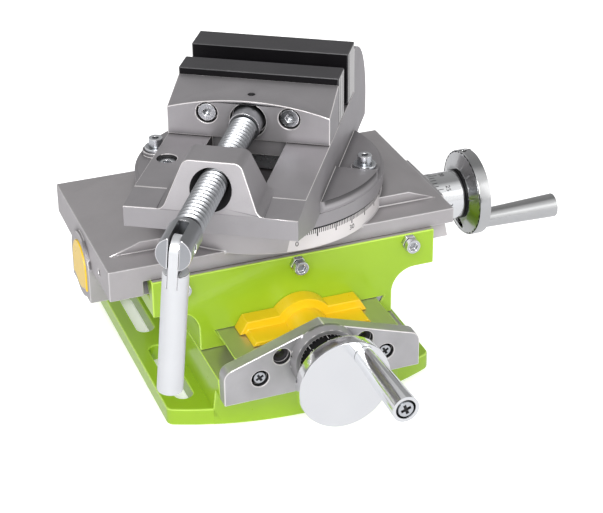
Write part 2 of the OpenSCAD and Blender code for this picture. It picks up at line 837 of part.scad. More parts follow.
y_screw_short = 26.5;
x_screw_short = 10;
y_screw_len = bracket_t + base_d + way_reach - y_screw_short;
x_screw_len = bracket_t + table_right + table_left - x_screw_short;

module y_lead_screw() { color(zinc) on_y_axis() lead_screw(y_screw_len); }
module y_collar() { color(zinc) on_y_axis() collar(); }
module y_dial() { color(black) on_y_axis() dial(); }
module y_spacer() { color(black) on_y_axis() spacer(); }
module y_handwheel() { color(bright) on_y_axis() handwheel(y_crank_angle); }
module y_set_screw() { color(black) on_y_axis() set_screw(y_crank_angle); }
module y_crank_spindle() { color(zinc) on_y_axis() crank_spindle(y_crank_angle); }
module y_crank_handle() { color(bright) on_y_axis() crank_handle(y_crank_angle); }
module x_lead_screw() { color(zinc) on_x_axis() lead_screw(x_screw_len); }
module x_collar() { color(zinc) on_x_axis() collar(); }
module x_dial() { color(bright) on_x_axis() dial(); }
module x_spacer() { color(black) on_x_axis() spacer(); }
module x_handwheel() { color(bright) on_x_axis() handwheel(x_crank_angle); }
module x_set_screw() { color(black) on_x_axis() set_screw(x_crank_angle); }
module x_crank_spindle() { color(zinc) on_x_axis() crank_spindle(x_crank_angle); }
module x_crank_handle() { color(bright) on_x_axis() crank_handle(x_crank_angle); }

// Swivel vise, drawn with u along X and v along Y
module body_profile() {
    polygon([
        [-vise_front, rail_z - lip_h], [-vise_front, rail_z - lip_drop], [fold_v, rail_z], [fixed_face + 1, rail_z],
        [fixed_face + 1, flange_top - 1], [-vise_front + nose_slope, flange_top - 1]
    ]);
}

module fixed_back_profile() {
    intersection() {
        translate([fixed_back_v, fixed_back_z]) circle(fixed_back_r, $fn = 128);
        translate([fixed_face, flange_z + 2.5]) square(2 * fixed_back_r);
    }
}

module bridge_side() {
    polygon([
        [-vise_front, rail_z - sunk], [bridge_back, rail_z - sunk],
        [bridge_back - bridge_back_lean, rail_z + bridge_h],
        [-vise_front + bridge_lean, rail_z + bridge_h], [-vise_front, rail_z - lip_drop]
    ]);
}

// Bridge seen from the front, with rounded top corners and a hollow round at each foot
module bridge_front() {
    top = rail_z + bridge_h;
    r = bridge_round_r;
    spread = (bridge_w - bridge_top_w) / 2 / (bridge_h + sunk);
    tilt = atan(spread);
    crown_u = bridge_top_w / 2 + r * spread - r / cos(tilt);
    hollow_u = bridge_top_w / 2 + (bridge_h - r) * spread + r / cos(tilt);
    polygon([
        [-bridge_w / 2, rail_z - sunk], [bridge_w / 2, rail_z - sunk],
        [crown_u + r * cos(tilt), top - r + r * sin(tilt)], [crown_u, top],
        [-crown_u, top], [-crown_u - r * cos(tilt), top - r + r * sin(tilt)]
    ]);
    for (s = [-1, 1]) {
        translate([s * crown_u, top - r]) circle(r);
        difference() {
            polygon([
                [s * (hollow_u - r * cos(tilt)), rail_z + r - r * sin(tilt)],
                [s * (bridge_w / 2 - 1), rail_z - sunk], [s * hollow_u, rail_z - sunk], [s * hollow_u, rail_z]
            ]);
            translate([s * hollow_u, rail_z + r]) circle(r);
        }
    }
}

module vise_body() {
    half = jaw_w / 2;
    ear_v = -7;
    color(cast) in_vise() difference() {
        union() {
            translate([0, 0, flange_z]) cylinder(r = flange_r, h = flange_t - 1.5, $fn = 128);
            translate([0, 0, flange_top - 1.5 - eps]) cylinder(r1 = flange_r, r2 = flange_r - 1.5, h = 1.5, $fn = 128);
            intersection() {
                translate([0, 0, flange_z + 1]) cylinder(r = flange_r - 0.5, h = flange_t - 1 + ear_h, $fn = 128);
                box([half - 1, -flange_r, flange_z], [flange_r, ear_v, rail_z]);
            }
            along_x(-half, half) body_profile();
            along_x(-half, half) fixed_back_profile();
            intersection() {
                along_x(-half, half) bridge_side();
                along_y(-vise_front, 0) bridge_front();
            }
            for (s = [-1, 1]) translate([s * clamp_r, 0, flange_z + 1]) cylinder(r = washer_r + 1, h = flange_t - 1 + pad_h);
        }
        box([-rail_slot_w / 2, bridge_back, slot_floor], [rail_slot_w / 2, fixed_face, rail_z + 1]);
        box([-undercut_w / 2, bridge_back, slot_floor], [undercut_w / 2, fixed_face, undercut_z]);
        translate([0, 0, flange_z - 1]) cylinder(r = pivot_r + shaft_gap, h = slot_floor - flange_z + 2);
        translate([0, 0, screw_z]) {
            bar_y(screw_r + shaft_gap, -vise_front - 1, 0);
            translate([0, -vise_front - 1, 0]) rotate([-90, 0, 0]) cylinder(r1 = bridge_sink_r, r2 = screw_r, h = 11);
        }
        for (s = [-1, 1]) {
            translate([s * clamp_r, 0, 0]) cylinder(r = clamp_shank_r + 0.2, h = long);
            translate([s * jaw_screw_u, 0, jaw_screw_z]) {
                bar_y(socket_shank_r + 0.2, fixed_face - 1, fixed_face + jaw_cut);
                bar_y(sink_r, fixed_face + jaw_sink_start, fixed_face + jaw_cut);
            }
        }
        at_rail_screw() {
            translate([0, 0, -5]) cylinder(r = socket_head_r + 0.4, h = 6);
            translate([0, 0, -16]) cylinder(r = socket_shank_r, h = 16);
        }
    }
}

module at_rail_screw() { translate([-jaw_w / 2 + 6.5, -vise_front + rail_screw_v, rail_z]) children(); }

module rail_screw() {
    color(zinc) in_vise() at_rail_screw() translate([0, 0, -5])
        cap_screw(socket_head_r, 3.4, socket_shank_r - 0.02, 10, 2);
}

module jaw_plate(face, thick, high) {
    box([-jaw_w / 2, face, rail_z + plate_lift], [jaw_w / 2, face + thick, rail_z + high]);
}

// Blind holes for the jaw screws, from one face of a plate
module jaw_screw_holes(face, depth) {
    for (s = [-1, 1])
        translate([s * jaw_screw_u, 0, jaw_screw_z])
            bar_y(socket_shank_r, min(face, face + depth), max(face, face + depth));
}

module fixed_jaw_plate() {
    color(black) in_vise() difference() {
        jaw_plate(fixed_face - fixed_plate_t, fixed_plate_t, fixed_plate_h);
        jaw_screw_holes(fixed_face + 1, -9);
    }
}

module moving_jaw_plate() {
    color(black) in_vise() difference() {
        jaw_plate(moving_face, moving_plate_t, moving_plate_h);
        jaw_screw_holes(moving_face - 1, 9);
    }
}

module fixed_jaw_screws() {
    color(zinc) in_vise() for (s = [-1, 1])
        translate([s * jaw_screw_u, fixed_face + 10, jaw_screw_z]) rotate([-90, 0, 0])
            cap_screw(socket_head_r, socket_head_t, socket_shank_r - 0.02, 17, 2);
}

module moving_jaw_screws() {
    color(zinc) in_vise() for (s = [-1, 1])
        translate([s * jaw_screw_u, moving_front + 5, jaw_screw_z]) rotate([90, 0, 0])
            cap_screw(socket_head_r, socket_head_t, socket_shank_r - 0.02, moving_jaw_t + 2, 2);
}

module clamp_screws() {
    color(zinc) in_vise() for (s = [-1, 1])
        translate([s * clamp_r, 0, flange_top + pad_h + washer_t])
            cap_screw(4, 5.2, clamp_shank_r, flange_top + pad_h + washer_t - t_floor - 0.6, 2);
}

module clamp_washers() {
    color(zinc) in_vise() for (s = [-1, 1])
        translate([s * clamp_r, 0, flange_top + pad_h]) difference() {
            cylinder(r = washer_r, h = washer_t);
            translate([0, 0, -1]) cylinder(r = clamp_shank_r + 0.1, h = washer_t + 2);
        }
}

module clamp_nuts() {
    color(zinc) in_vise() for (s = [-1, 1])
        translate([s * clamp_r, 0, t_floor + 2 * slide_gap - 0.05]) difference() {
            cylinder(r = t_nut_r, h = t_nut_t - 0.15);
            translate([0, 0, -1]) cylinder(r = clamp_shank_r + 0.02, h = t_nut_t + 2);
        }
}

module crown_outline() {
    half = jaw_w / 2;
    r = (pow(half, 2) + pow(moving_crown_h, 2)) / (2 * moving_crown_h);
    intersection() {
        translate([-half, rail_z + slide_gap]) square([jaw_w, 40]);
        translate([0, rail_z + moving_shoulder_h + moving_crown_h - r]) circle(r, $fn = 180);
    }
}

module jaw_slope() {
    polygon([
        [moving_front, rail_z + slide_gap], [moving_face, rail_z + slide_gap],
        [moving_face, rail_z + moving_shoulder_h + moving_crown_h + 1.5],
        [moving_front, rail_z + moving_shoulder_h - 0.1]
    ]);
}

module moving_jaw() {
    half = jaw_w / 2;
    color(cast) in_vise() difference() {
        union() {
            along_y(moving_front, moving_face) crown_outline();
            along_x(-half, half) jaw_slope();
            box([-rail_slot_w / 2 + slide_gap, moving_front + 2, undercut_z],
                [rail_slot_w / 2 - slide_gap, moving_back - 1, rail_z + slide_gap + eps]);
        }
        translate([0, 0, screw_z]) {
            bar_y(neck_r + 1.2, moving_front - 1, moving_front + neck_sink);
            bar_y(nose_r + shaft_gap, moving_front - 1, moving_front + nose_len + 0.3);
        }
        for (s = [-1, 1])
            translate([s * jaw_screw_u, 0, jaw_screw_z]) {
                bar_y(socket_shank_r + 0.2, moving_front, moving_face + 1);
                bar_y(sink_r, moving_front - 1, moving_front + 5);
            }
        translate([0, pin_v, screw_z]) cylinder(r = pin_r, h = 30);
        at_keeper_screw() translate([0, 0, undercut_z - 1]) cylinder(r = socket_shank_r, h = 8);
    }
}

keeper_t = undercut_z - slot_floor - 1;

module at_keeper_screw() {
    for (s = [-1, 1]) translate([s * keeper_u, (moving_front + moving_back) / 2, 0]) children();
}

module jaw_keeper() {
    low = undercut_z - slide_gap - keeper_t;
    color(zinc) in_vise() difference() {
        box([-undercut_w / 2 + 3 * slide_gap, moving_front + 4, low],
            [undercut_w / 2 - 3 * slide_gap, moving_back - 3, undercut_z - slide_gap]);
        at_keeper_screw() {
            translate([0, 0, low - 1]) cylinder(r = socket_shank_r + 0.1, h = keeper_t + 2);
            translate([0, 0, low - 1]) cylinder(r = sink_r, h = socket_head_t + 1);
        }
    }
}

module keeper_screws() {
    low = undercut_z - slide_gap - keeper_t;
    color(zinc) in_vise() at_keeper_screw() translate([0, 0, low + socket_head_t]) rotate([180, 0, 0])
        cap_screw(socket_head_r, socket_head_t - 0.2, socket_shank_r - 0.02, keeper_t + 2, 2);
}

module screw_pin() {
    color(zinc) in_vise() translate([0, pin_v, screw_z + groove_r + 0.1]) cylinder(r = pin_r - 0.02, h = 4.6);
}

// Vise screw with its fork and swing handle
module vise_screw() {
    color(zinc) in_vise() in_screw() translate([0, 0, screw_z]) difference() {
        union() {
            bar_y(screw_r, fork_v + fork_len - fork_tip, moving_front - neck_len);
            bar_y(neck_r, moving_front - neck_len - eps, moving_front + neck_sink - 0.3);
            bar_y(nose_r, moving_front, moving_front + nose_len);
            bar_y(fork_r, fork_v - fork_tip, fork_v + fork_len - fork_tip + eps);
        }
        difference() {
            bar_y(nose_r + 1, pin_v - groove_w / 2, pin_v + groove_w / 2);
            bar_y(groove_r, pin_v - groove_w, pin_v + groove_w);
        }
        box([-fork_slot_w / 2, fork_v - fork_tip - 1, -10], [fork_slot_w / 2, fork_v + fork_slot_end, 10]);
        translate([0, fork_v, 0]) bar_x(fork_pin_r, -10, 10);
    }
}

module fork_pin() {
    color(zinc) in_vise() in_screw() translate([0, fork_v, screw_z]) bar_x(fork_pin_r - 0.02, -fork_r + 0.6, fork_r - 0.6);
}

module swing_handle() {
    tab = fork_slot_w / 2 - 0.2;
    color(zinc) in_vise() in_screw() translate([0, fork_v, screw_z]) difference() {
        union() {
            bar_x(tab_r, -tab, tab);
            box([-tab, -tab_r, -tab_len], [tab, tab_r, 0]);
            translate([0, 0, -bar_len]) cylinder(r = bar_r, h = bar_len - bar_start);
        }
        bar_x(fork_pin_r + shaft_gap, -pin_cut, pin_cut);
    }
}

way_block();
base_flange_left();
base_flange_right();
y_bracket();
y_bracket_screws();
y_bush();
saddle_casting();
front_cover();
x_gib();
y_gib();
x_gib_screws();
x_gib_nuts();
y_gib_screws();
y_gib_nuts();
x_nut();
y_nut();
table_casting();
end_plug();
x_bracket();
x_bracket_screws();
x_bush();
swivel_pin();
y_lead_screw();
y_collar();
y_dial();
y_spacer();
y_handwheel();
y_set_screw();
y_crank_spindle();
y_crank_handle();
x_lead_screw();
x_collar();
x_dial();
x_spacer();
x_handwheel();
x_set_screw();
x_crank_spindle();
x_crank_handle();
vise_body();
fixed_jaw_plate();
fixed_jaw_screws();
clamp_screws();
clamp_washers();
clamp_nuts();
rail_screw();
moving_jaw();
moving_jaw_plate();
moving_jaw_screws();
jaw_keeper();
keeper_screws();
screw_pin();
vise_screw();
fork_pin();
swing_handle();
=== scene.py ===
# %% [markdown]
# # Cross slide vise
#
# This lesson takes the CAD parts of a small cross slide vise and gives them the look of the
# real thing: rounded casting edges, gloss paint, chrome handwheels, a cut screw thread and
# printed scales. The CAD fixes every size and place, and each new piece rides on a CAD body,
# so the slides, screws and swivel still move.

# %% Frame
import json
import math

import bmesh
import bpy
from mathutils import Matrix, Vector

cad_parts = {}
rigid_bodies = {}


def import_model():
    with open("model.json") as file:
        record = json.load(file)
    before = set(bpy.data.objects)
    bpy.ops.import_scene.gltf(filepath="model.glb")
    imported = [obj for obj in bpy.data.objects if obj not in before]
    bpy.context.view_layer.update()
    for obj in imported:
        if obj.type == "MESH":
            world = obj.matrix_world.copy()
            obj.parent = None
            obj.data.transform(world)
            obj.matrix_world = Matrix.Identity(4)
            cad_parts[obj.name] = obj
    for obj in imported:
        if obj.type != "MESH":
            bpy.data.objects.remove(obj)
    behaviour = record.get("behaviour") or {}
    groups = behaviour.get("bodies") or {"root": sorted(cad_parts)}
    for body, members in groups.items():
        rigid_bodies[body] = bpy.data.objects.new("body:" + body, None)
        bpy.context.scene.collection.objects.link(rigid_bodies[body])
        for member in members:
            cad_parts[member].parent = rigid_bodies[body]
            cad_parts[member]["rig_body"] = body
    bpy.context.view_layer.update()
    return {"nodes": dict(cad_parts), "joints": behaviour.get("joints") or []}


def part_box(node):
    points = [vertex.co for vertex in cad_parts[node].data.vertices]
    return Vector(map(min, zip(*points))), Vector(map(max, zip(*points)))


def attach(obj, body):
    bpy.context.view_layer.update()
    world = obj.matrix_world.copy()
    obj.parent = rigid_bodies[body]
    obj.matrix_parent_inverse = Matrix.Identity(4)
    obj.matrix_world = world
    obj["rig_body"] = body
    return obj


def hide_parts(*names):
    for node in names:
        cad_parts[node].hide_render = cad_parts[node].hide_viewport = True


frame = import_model()
nodes = frame["nodes"]
joints = {joint["name"]: joint for joint in frame["joints"]}
MM = 0.001
print("CAD nodes", len(nodes), "and joints", len(joints))

# %% [markdown]
# The vise stands turned on its table. A matrix that goes from the vise's own directions, u
# across the jaws and v along the screw, to the world makes every later step on it simpler.
# Its angle comes from the axis that the moving jaw slides on.

# %% Directions of the vise
swivel = Vector(joints["swivel"]["pos_m"])
v_axis = Vector(joints["jaw_slide"]["axis"]).normalized()
vise_turn = math.atan2(-v_axis.x, v_axis.y)
VISE = Matrix.Translation((swivel.x, swivel.y, 0)) @ Matrix.Rotation(vise_turn, 4, "Z")
TO_VISE = VISE.inverted()
print("vise turned by", round(math.degrees(vise_turn), 1), "degrees")

# %% [markdown]
# Materials come first, so that each piece can take its own as it is made. Surfaces of one
# metal differ in their grain, so the grain is a node group that every material can use: a
# slow noise for stains and shade, and a fast one for the tooth of the surface. All of it
# works in Object coordinates, so nothing swims when the view changes.

# %% Grain group
def new_group(name, inputs, outputs):
    group = bpy.data.node_groups.new(name, "ShaderNodeTree")
    for label, value in inputs:
        socket = group.interface.new_socket(label, in_out="INPUT", socket_type="NodeSocketFloat")
        socket.default_value = value
    for label in outputs:
        group.interface.new_socket(label, in_out="OUTPUT", socket_type="NodeSocketFloat")
    return group


def noise(tree, vector, scale, detail):
    node = tree.nodes.new("ShaderNodeTexNoise")
    node.inputs["Detail"].default_value = detail
    tree.links.new(vector, node.inputs["Vector"])
    tree.links.new(scale, node.inputs["Scale"])
    return node.outputs["Fac"]


grain = new_group("casting_grain", [("Mottle Scale", 60), ("Fine Scale", 1800)], ["Mottle", "Fine"])
inside = grain.nodes.new("NodeGroupInput")
outside = grain.nodes.new("NodeGroupOutput")
place = grain.nodes.new("ShaderNodeTexCoord").outputs["Object"]
grain.links.new(noise(grain, place, inside.outputs["Mottle Scale"], 4), outside.inputs["Mottle"])
grain.links.new(noise(grain, place, inside.outputs["Fine Scale"], 2), outside.inputs["Fine"])
print("group", grain.name, "with", len(grain.nodes), "nodes")

# %% [markdown]
# A machined face carries fine parallel lines from the cutter. Noise squeezed hard along one
# direction gives those lines, so a second group scales the coordinates before its noise.

# %% Machined lines group
def line_group(name, stretch):
    group = new_group(name, [("Mottle Scale", 40), ("Fine Scale", 900)], ["Mottle", "Fine"])
    source = group.nodes.new("NodeGroupInput")
    result = group.nodes.new("NodeGroupOutput")
    coords = group.nodes.new("ShaderNodeTexCoord").outputs["Object"]
    squeeze = group.nodes.new("ShaderNodeMapping")
    squeeze.inputs["Scale"].default_value = stretch
    group.links.new(coords, squeeze.inputs["Vector"])
    group.links.new(noise(group, coords, source.outputs["Mottle Scale"], 3), result.inputs["Mottle"])
    lines = noise(group, squeeze.outputs["Vector"], source.outputs["Fine Scale"], 2)
    group.links.new(lines, result.inputs["Fine"])
    return group


lines_y = line_group("lines_along_y", (1, 0.02, 1))
lines_z = line_group("lines_along_z", (1, 1, 0.03))
print("groups", lines_y.name, lines_z.name)

# %% [markdown]
# One function builds every surface from a light colour, a dark colour and a roughness span.
# The slow noise mixes the colours, the fine noise moves the roughness and lifts a slight
# bump. Metals set Metallic near 1, and paint adds a clear coat for its sharp gloss. Bare
# metal can also take painted shade: an Ambient Occlusion node darkens its colour where
# other faces stand close, in sockets and corners, and the shade reach says how near they
# have to be, in millimetres.

# %% Surface builder
TOOTH_H = 0.05 * MM
COAT_ROUGH = 0.08


def surface(name, light, dark, rough, metallic=0.0, coat=0.0, bump=0.1, group=grain, fine=1800,
            corner_shade_reach=0, shine=0.5):
    material = bpy.data.materials.new(name)
    material.use_nodes = True
    tree = material.node_tree
    shader = tree.nodes["Principled BSDF"]
    pattern = tree.nodes.new("ShaderNodeGroup")
    pattern.node_tree = group
    pattern.inputs["Fine Scale"].default_value = fine
    mix = tree.nodes.new("ShaderNodeMix")
    mix.data_type = "RGBA"
    mix.inputs["A"].default_value = (*dark, 1)
    mix.inputs["B"].default_value = (*light, 1)
    tree.links.new(pattern.outputs["Mottle"], mix.inputs["Factor"])
    colour = mix.outputs["Result"]
    # painted shade: Ambient Occlusion darkens the colour in sockets and corners
    if corner_shade_reach:
        corners = tree.nodes.new("ShaderNodeAmbientOcclusion")
        corners.inputs["Distance"].default_value = corner_shade_reach * MM
        tree.links.new(colour, corners.inputs["Color"])
        colour = corners.outputs["Color"]
    tree.links.new(colour, shader.inputs["Base Color"])
    span = tree.nodes.new("ShaderNodeMapRange")
    span.inputs["To Min"].default_value = rough[0]
    span.inputs["To Max"].default_value = rough[1]
    tree.links.new(pattern.outputs["Fine"], span.inputs["Value"])
    tree.links.new(span.outputs["Result"], shader.inputs["Roughness"])
    tooth = tree.nodes.new("ShaderNodeBump")
    tooth.inputs["Strength"].default_value = bump
    tooth.inputs["Distance"].default_value = TOOTH_H
    tree.links.new(pattern.outputs["Fine"], tooth.inputs["Height"])
    tree.links.new(tooth.outputs["Normal"], shader.inputs["Normal"])
    shader.inputs["Metallic"].default_value = metallic
    shader.inputs["Specular IOR Level"].default_value = shine
    shader.inputs["Coat Weight"].default_value = coat
    shader.inputs["Coat Roughness"].default_value = COAT_ROUGH
    return material


lime = surface("lime_paint", (0.33, 0.53, 0.02), (0.29, 0.475, 0.015), (0.25, 0.35), coat=0.35, fine=400)
# brighter lime for the bevels, a painted highlight along the edges
lime_edge_highlight = surface("lime_edge_highlight", (0.50, 0.72, 0.10), (0.44, 0.66, 0.07), (0.18, 0.28), coat=0.5, fine=400)
yellow = surface("yellow_paint", (0.86, 0.57, 0.01), (0.80, 0.52, 0.008), (0.25, 0.35), coat=0.3, fine=400)
# the three castings darken in their corners with painted shade
cast = surface("cast_metal", (0.45, 0.433, 0.449), (0.35, 0.337, 0.349), (0.42, 0.58), metallic=0.8,
               bump=0.35, corner_shade_reach=4)
bracket_cast = surface("bracket_cast", (0.64, 0.632, 0.645), (0.36, 0.352, 0.362), (0.38, 0.52),
                       metallic=0.8, bump=0.3, corner_shade_reach=4)
table_cast = surface("table_cast", (0.55, 0.528, 0.538), (0.44, 0.421, 0.43), (0.42, 0.58),
                     metallic=0.8, bump=0.35, corner_shade_reach=4)
# brighter metal for the bevels of the castings, a painted highlight along the edges, which also stands for a
# bright filed chamfer
cast_edge_highlight = surface("cast_edge_highlight", (0.68, 0.66, 0.665), (0.57, 0.55, 0.555), (0.25, 0.35), metallic=0.6)
bright_edge_highlight = surface("bright_edge_highlight", (0.88, 0.85, 0.85), (0.76, 0.73, 0.73), (0.25, 0.35), metallic=0.6)
machined = surface("machined_face", (0.62, 0.60, 0.58), (0.52, 0.50, 0.48), (0.25, 0.42), metallic=0.9,
                   group=lines_y, bump=0.2)
band = surface("scale_band", (0.77, 0.735, 0.735), (0.69, 0.66, 0.66), (0.35, 0.5), metallic=0.2,
               group=lines_z)
print("castings done:", lime.name, yellow.name, cast.name, machined.name, band.name)

# %% [markdown]
# Plated and blackened steel come next. Zinc is a little rough and bluish, chrome is smooth, and
# black oxide hardly shines. The ink of the scales, and the painted shade in thread roots, holes,
# recesses and the slot, are surfaces of the same kind in darker colours.

# %% Bright metals and black
# zinc darkens in its sockets with painted shade
zinc = surface("zinc", (0.70, 0.72, 0.75), (0.56, 0.58, 0.61), (0.22, 0.36), metallic=1.0, fine=700,
               corner_shade_reach=2.5)
# brighter zinc for the bevels of screws and dials, a painted highlight
zinc_edge_highlight = surface("zinc_edge_highlight", (0.95, 0.95, 0.96), (0.88, 0.88, 0.9), (0.12, 0.2), metallic=1.0, fine=700)
chrome = surface("chrome", (0.92, 0.93, 0.94), (0.86, 0.87, 0.89), (0.10, 0.16), metallic=1.0, bump=0.0,
                 fine=200)
# the side chrome darkens near other faces with painted shade
side_chrome = surface("side_chrome", (0.66, 0.665, 0.67), (0.58, 0.585, 0.59), (0.18, 0.24),
                      metallic=1.0, bump=0.0, fine=200, corner_shade_reach=5)
black = surface("black_steel", (0.007, 0.0062, 0.0075), (0.003, 0.0027, 0.0033), (0.4, 0.55), bump=0.2,
                shine=0.1)
# paler black for the plates' upward faces, a painted sheen
black_top_sheen = surface("black_top_sheen", (0.045, 0.043, 0.047), (0.030, 0.029, 0.032), (0.35, 0.5), bump=0.2,
                     shine=0.35)
# lighter black for the bevels of plates and spacers, a painted highlight
black_edge_highlight = surface("black_edge_highlight", (0.09, 0.088, 0.092), (0.05, 0.049, 0.052), (0.25, 0.35), metallic=0.4)
bare = surface("bare_steel", (0.62, 0.61, 0.60), (0.50, 0.49, 0.48), (0.25, 0.4), metallic=0.8, group=lines_z)
bronze = surface("bronze", (0.52, 0.33, 0.12), (0.42, 0.25, 0.08), (0.28, 0.42), metallic=1.0)
dark_ink = surface("dark_ink", (0.02, 0.02, 0.021), (0.012, 0.012, 0.013), (0.5, 0.65))
pale_ink = surface("pale_ink", (0.72, 0.72, 0.72), (0.62, 0.62, 0.63), (0.4, 0.5), metallic=0.3)
bright = surface("bright_bar", (0.74, 0.75, 0.77), (0.66, 0.67, 0.69), (0.36, 0.48), metallic=0.6, fine=700)
# the thread darkens between its turns with painted shade
thread = surface("thread_zinc", (0.50, 0.51, 0.53), (0.38, 0.39, 0.41), (0.28, 0.42), metallic=1.0,
                 fine=700, corner_shade_reach=2.5)
# painted shade for the thread's root and the fork's inner walls
root_shade = surface("shaded_root", (0.10, 0.10, 0.105), (0.06, 0.06, 0.063), (0.3, 0.45), metallic=0.8,
                 fine=700)
# painted shade over a brownish grime, for the slot between the rails
shade_and_grime = surface("slot_shade_and_grime", (0.055, 0.047, 0.048), (0.030, 0.026, 0.027), (0.5, 0.7), metallic=0.2)
# painted shade for holes, sinks and cross recesses
shade = surface("recess", (0.035, 0.034, 0.036), (0.022, 0.021, 0.023), (0.5, 0.7), metallic=0.3)
print("metals done:", zinc.name, chrome.name, black.name, bare.name, bronze.name)

# %% [markdown]
# No real casting has a knife edge. The next helpers copy a CAD part into a bmesh, join its
# doubled points, merge its triangles back into flat faces, and bevel the edges that turn
# sharply. The bevel's own faces take a second, brighter material, a painted highlight along
# each edge; on bare metal it also stands for a bright filed chamfer, and the edges show as
# light lines. Three tests steer the bevel: keep narrows down the sharp edges, also adds edges
# that turn less, and tint picks the material of each new face.

# %% Edge helpers
SHARP = math.radians(32)
FLAT_TURN = math.radians(0.5)
MERGE = 0.002 * MM
SHORTEST = 1e-6
ROOM = 2.5


def solid_copy(name):
    bm = bmesh.new()
    bm.from_mesh(nodes[name].data)
    bmesh.ops.remove_doubles(bm, verts=bm.verts, dist=MERGE)
    bmesh.ops.dissolve_limit(bm, angle_limit=FLAT_TURN, verts=bm.verts, edges=bm.edges)
    for face in bm.faces:
        face.material_index = 0
    return bm


def room_beside(edge):
    return min(face.calc_area() / edge.calc_length() for face in edge.link_faces)


def soften(bm, width, keep=lambda edge: True, also=lambda edge: False, tint=lambda face: 1):
    picked = []
    for edge in bm.edges:
        if len(edge.link_faces) != 2 or edge.calc_length() < SHORTEST:
            continue
        sharp = edge.calc_face_angle(0) > SHARP and room_beside(edge) > ROOM * width
        if also(edge) or sharp and keep(edge):
            picked.append(edge)
    made = bmesh.ops.bevel(bm, geom=picked, offset=width, offset_type="OFFSET", affect="EDGES",
                           segments=2, profile=0.5, material=-1, clamp_overlap=False)
    for face in made["faces"]:
        face.material_index = tint(face)
    return len(picked)


print("edges that turn by more than", round(math.degrees(SHARP)), "degrees are softened")

# %% [markdown]
# A finished piece has its doubled points and empty faces cleared. It gets its materials, smooth
# shading with marks where it turns sharply, and weighted normals, which let the big flat faces
# win over the narrow bevels. Then it is parented to the body that carries it, and the CAD part
# it stands for, if any, is hidden. Most pieces are a dressed CAD part: the part is
# reshaped if it needs it, its faces get their materials, and its edges are softened.

# %% Finishing helper
def add_piece(bm, name, body, materials, hides=()):
    mesh = bpy.data.meshes.new(name)
    bmesh.ops.remove_doubles(bm, verts=bm.verts, dist=MERGE)
    bmesh.ops.dissolve_degenerate(bm, dist=MERGE, edges=bm.edges)
    bmesh.ops.recalc_face_normals(bm, faces=bm.faces)
    bm.to_mesh(mesh)
    bm.free()
    for material in materials:
        mesh.materials.append(material)
    for polygon in mesh.polygons:
        polygon.use_smooth = True
    mesh.set_sharp_from_angle(angle=SHARP)
    piece = bpy.data.objects.new(name, mesh)
    bpy.context.scene.collection.objects.link(piece)
    weigh = piece.modifiers.new("weighted normals", "WEIGHTED_NORMAL")
    weigh.keep_sharp = True
    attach(piece, body)
    if hides:
        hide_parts(*hides)
    return piece


def dress(node, slot, materials, width, recolour=None, reshape=None, **choices):
    bm = solid_copy(node)
    if reshape:
        reshape(bm)
    if recolour:
        for face in bm.faces:
            face.material_index = recolour(face)
    count = soften(bm, width * MM, **choices)
    piece = add_piece(bm, node + "_skin", nodes[node]["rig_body"], materials, [node])
    print(node, "edges softened", count, "faces", len(piece.data.polygons))


# %% [markdown]
# The base and saddle are castings in gloss lime paint. Paint stops where the cutter has been:
# the dovetail ways and the slots that slide on them are bare. A test on each face's height
# and place picks those faces out. The base is cast in one piece, so the seams between its
# three CAD parts stay sharp and don't show.

# %% Base and saddle
DOVETAIL_H = 9 * MM
SHOULDER_SLACK = 0.5 * MM
TABLE_WAY_DEEP = 24 * MM
TABLE_WAY_HALF = 46 * MM
BASE_WAY_DEEP = 10 * MM
BASE_WAY_HALF = 44 * MM
SEAM_SLACK = 0.05 * MM
way_low, way_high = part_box("way_block")
way_shoulder = way_high.z - DOVETAIL_H
saddle_low, saddle_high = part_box("saddle_casting")
saddle_mid_y = (saddle_low.y + saddle_high.y) / 2
seam_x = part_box("base_flange_right")[0].x


def way_face(face):
    return 2 if face.calc_center_median().z > way_shoulder - SHOULDER_SLACK else 0


def saddle_face(face):
    centre = face.calc_center_median()
    high_up = centre.z > saddle_high.z - TABLE_WAY_DEEP
    low_down = centre.z < saddle_low.z + BASE_WAY_DEEP
    in_table_way = high_up and abs(centre.y - saddle_mid_y) < TABLE_WAY_HALF
    in_base_way = low_down and abs(centre.x) < BASE_WAY_HALF
    cut_along_x = in_table_way and abs(face.normal.x) < 0.5
    cut_along_y = in_base_way and abs(face.normal.y) < 0.5
    return 2 if cut_along_x or cut_along_y else 0


def off_seam(edge):
    return not all(abs(abs(vertex.co.x) - seam_x) < SEAM_SLACK for vertex in edge.verts)


def outer_corner(edge):
    return edge.is_convex


dress("way_block", "lime_paint", [lime, lime_edge_highlight, machined], 0.5, way_face, keep=off_seam)
dress("base_flange_left", "lime_paint", [lime, lime_edge_highlight], 0.7, keep=off_seam)
dress("base_flange_right", "lime_paint", [lime, lime_edge_highlight], 0.7, keep=off_seam)
dress("saddle_casting", "lime_paint", [lime, lime_edge_highlight, machined], 0.6, saddle_face, keep=outer_corner)

# %% [markdown]
# The yellow pieces are pressed or moulded covers, so their edges are rounder than those of
# the castings. Their bevels keep the plain yellow, with no painted highlight.

# %% Yellow covers
dress("front_cover", "yellow_paint", [yellow, yellow], 0.7)
dress("end_plug", "yellow_paint", [yellow, yellow], 0.4)

# %% [markdown]
# The table carries the swivel scale on the wall of its round boss. The wall was turned bright
# from just before the zero mark round to the back, and the rest was left as cast. The angle
# of each wall facet around the swivel decides which it gets.

# %% Table
BOSS_R = 57 * MM
BOSS_SLACK = 0.6 * MM
ZERO_ANGLE = math.radians(-93)
BAND_LEAD = math.radians(3.4)
BAND_TURN = math.radians(138)


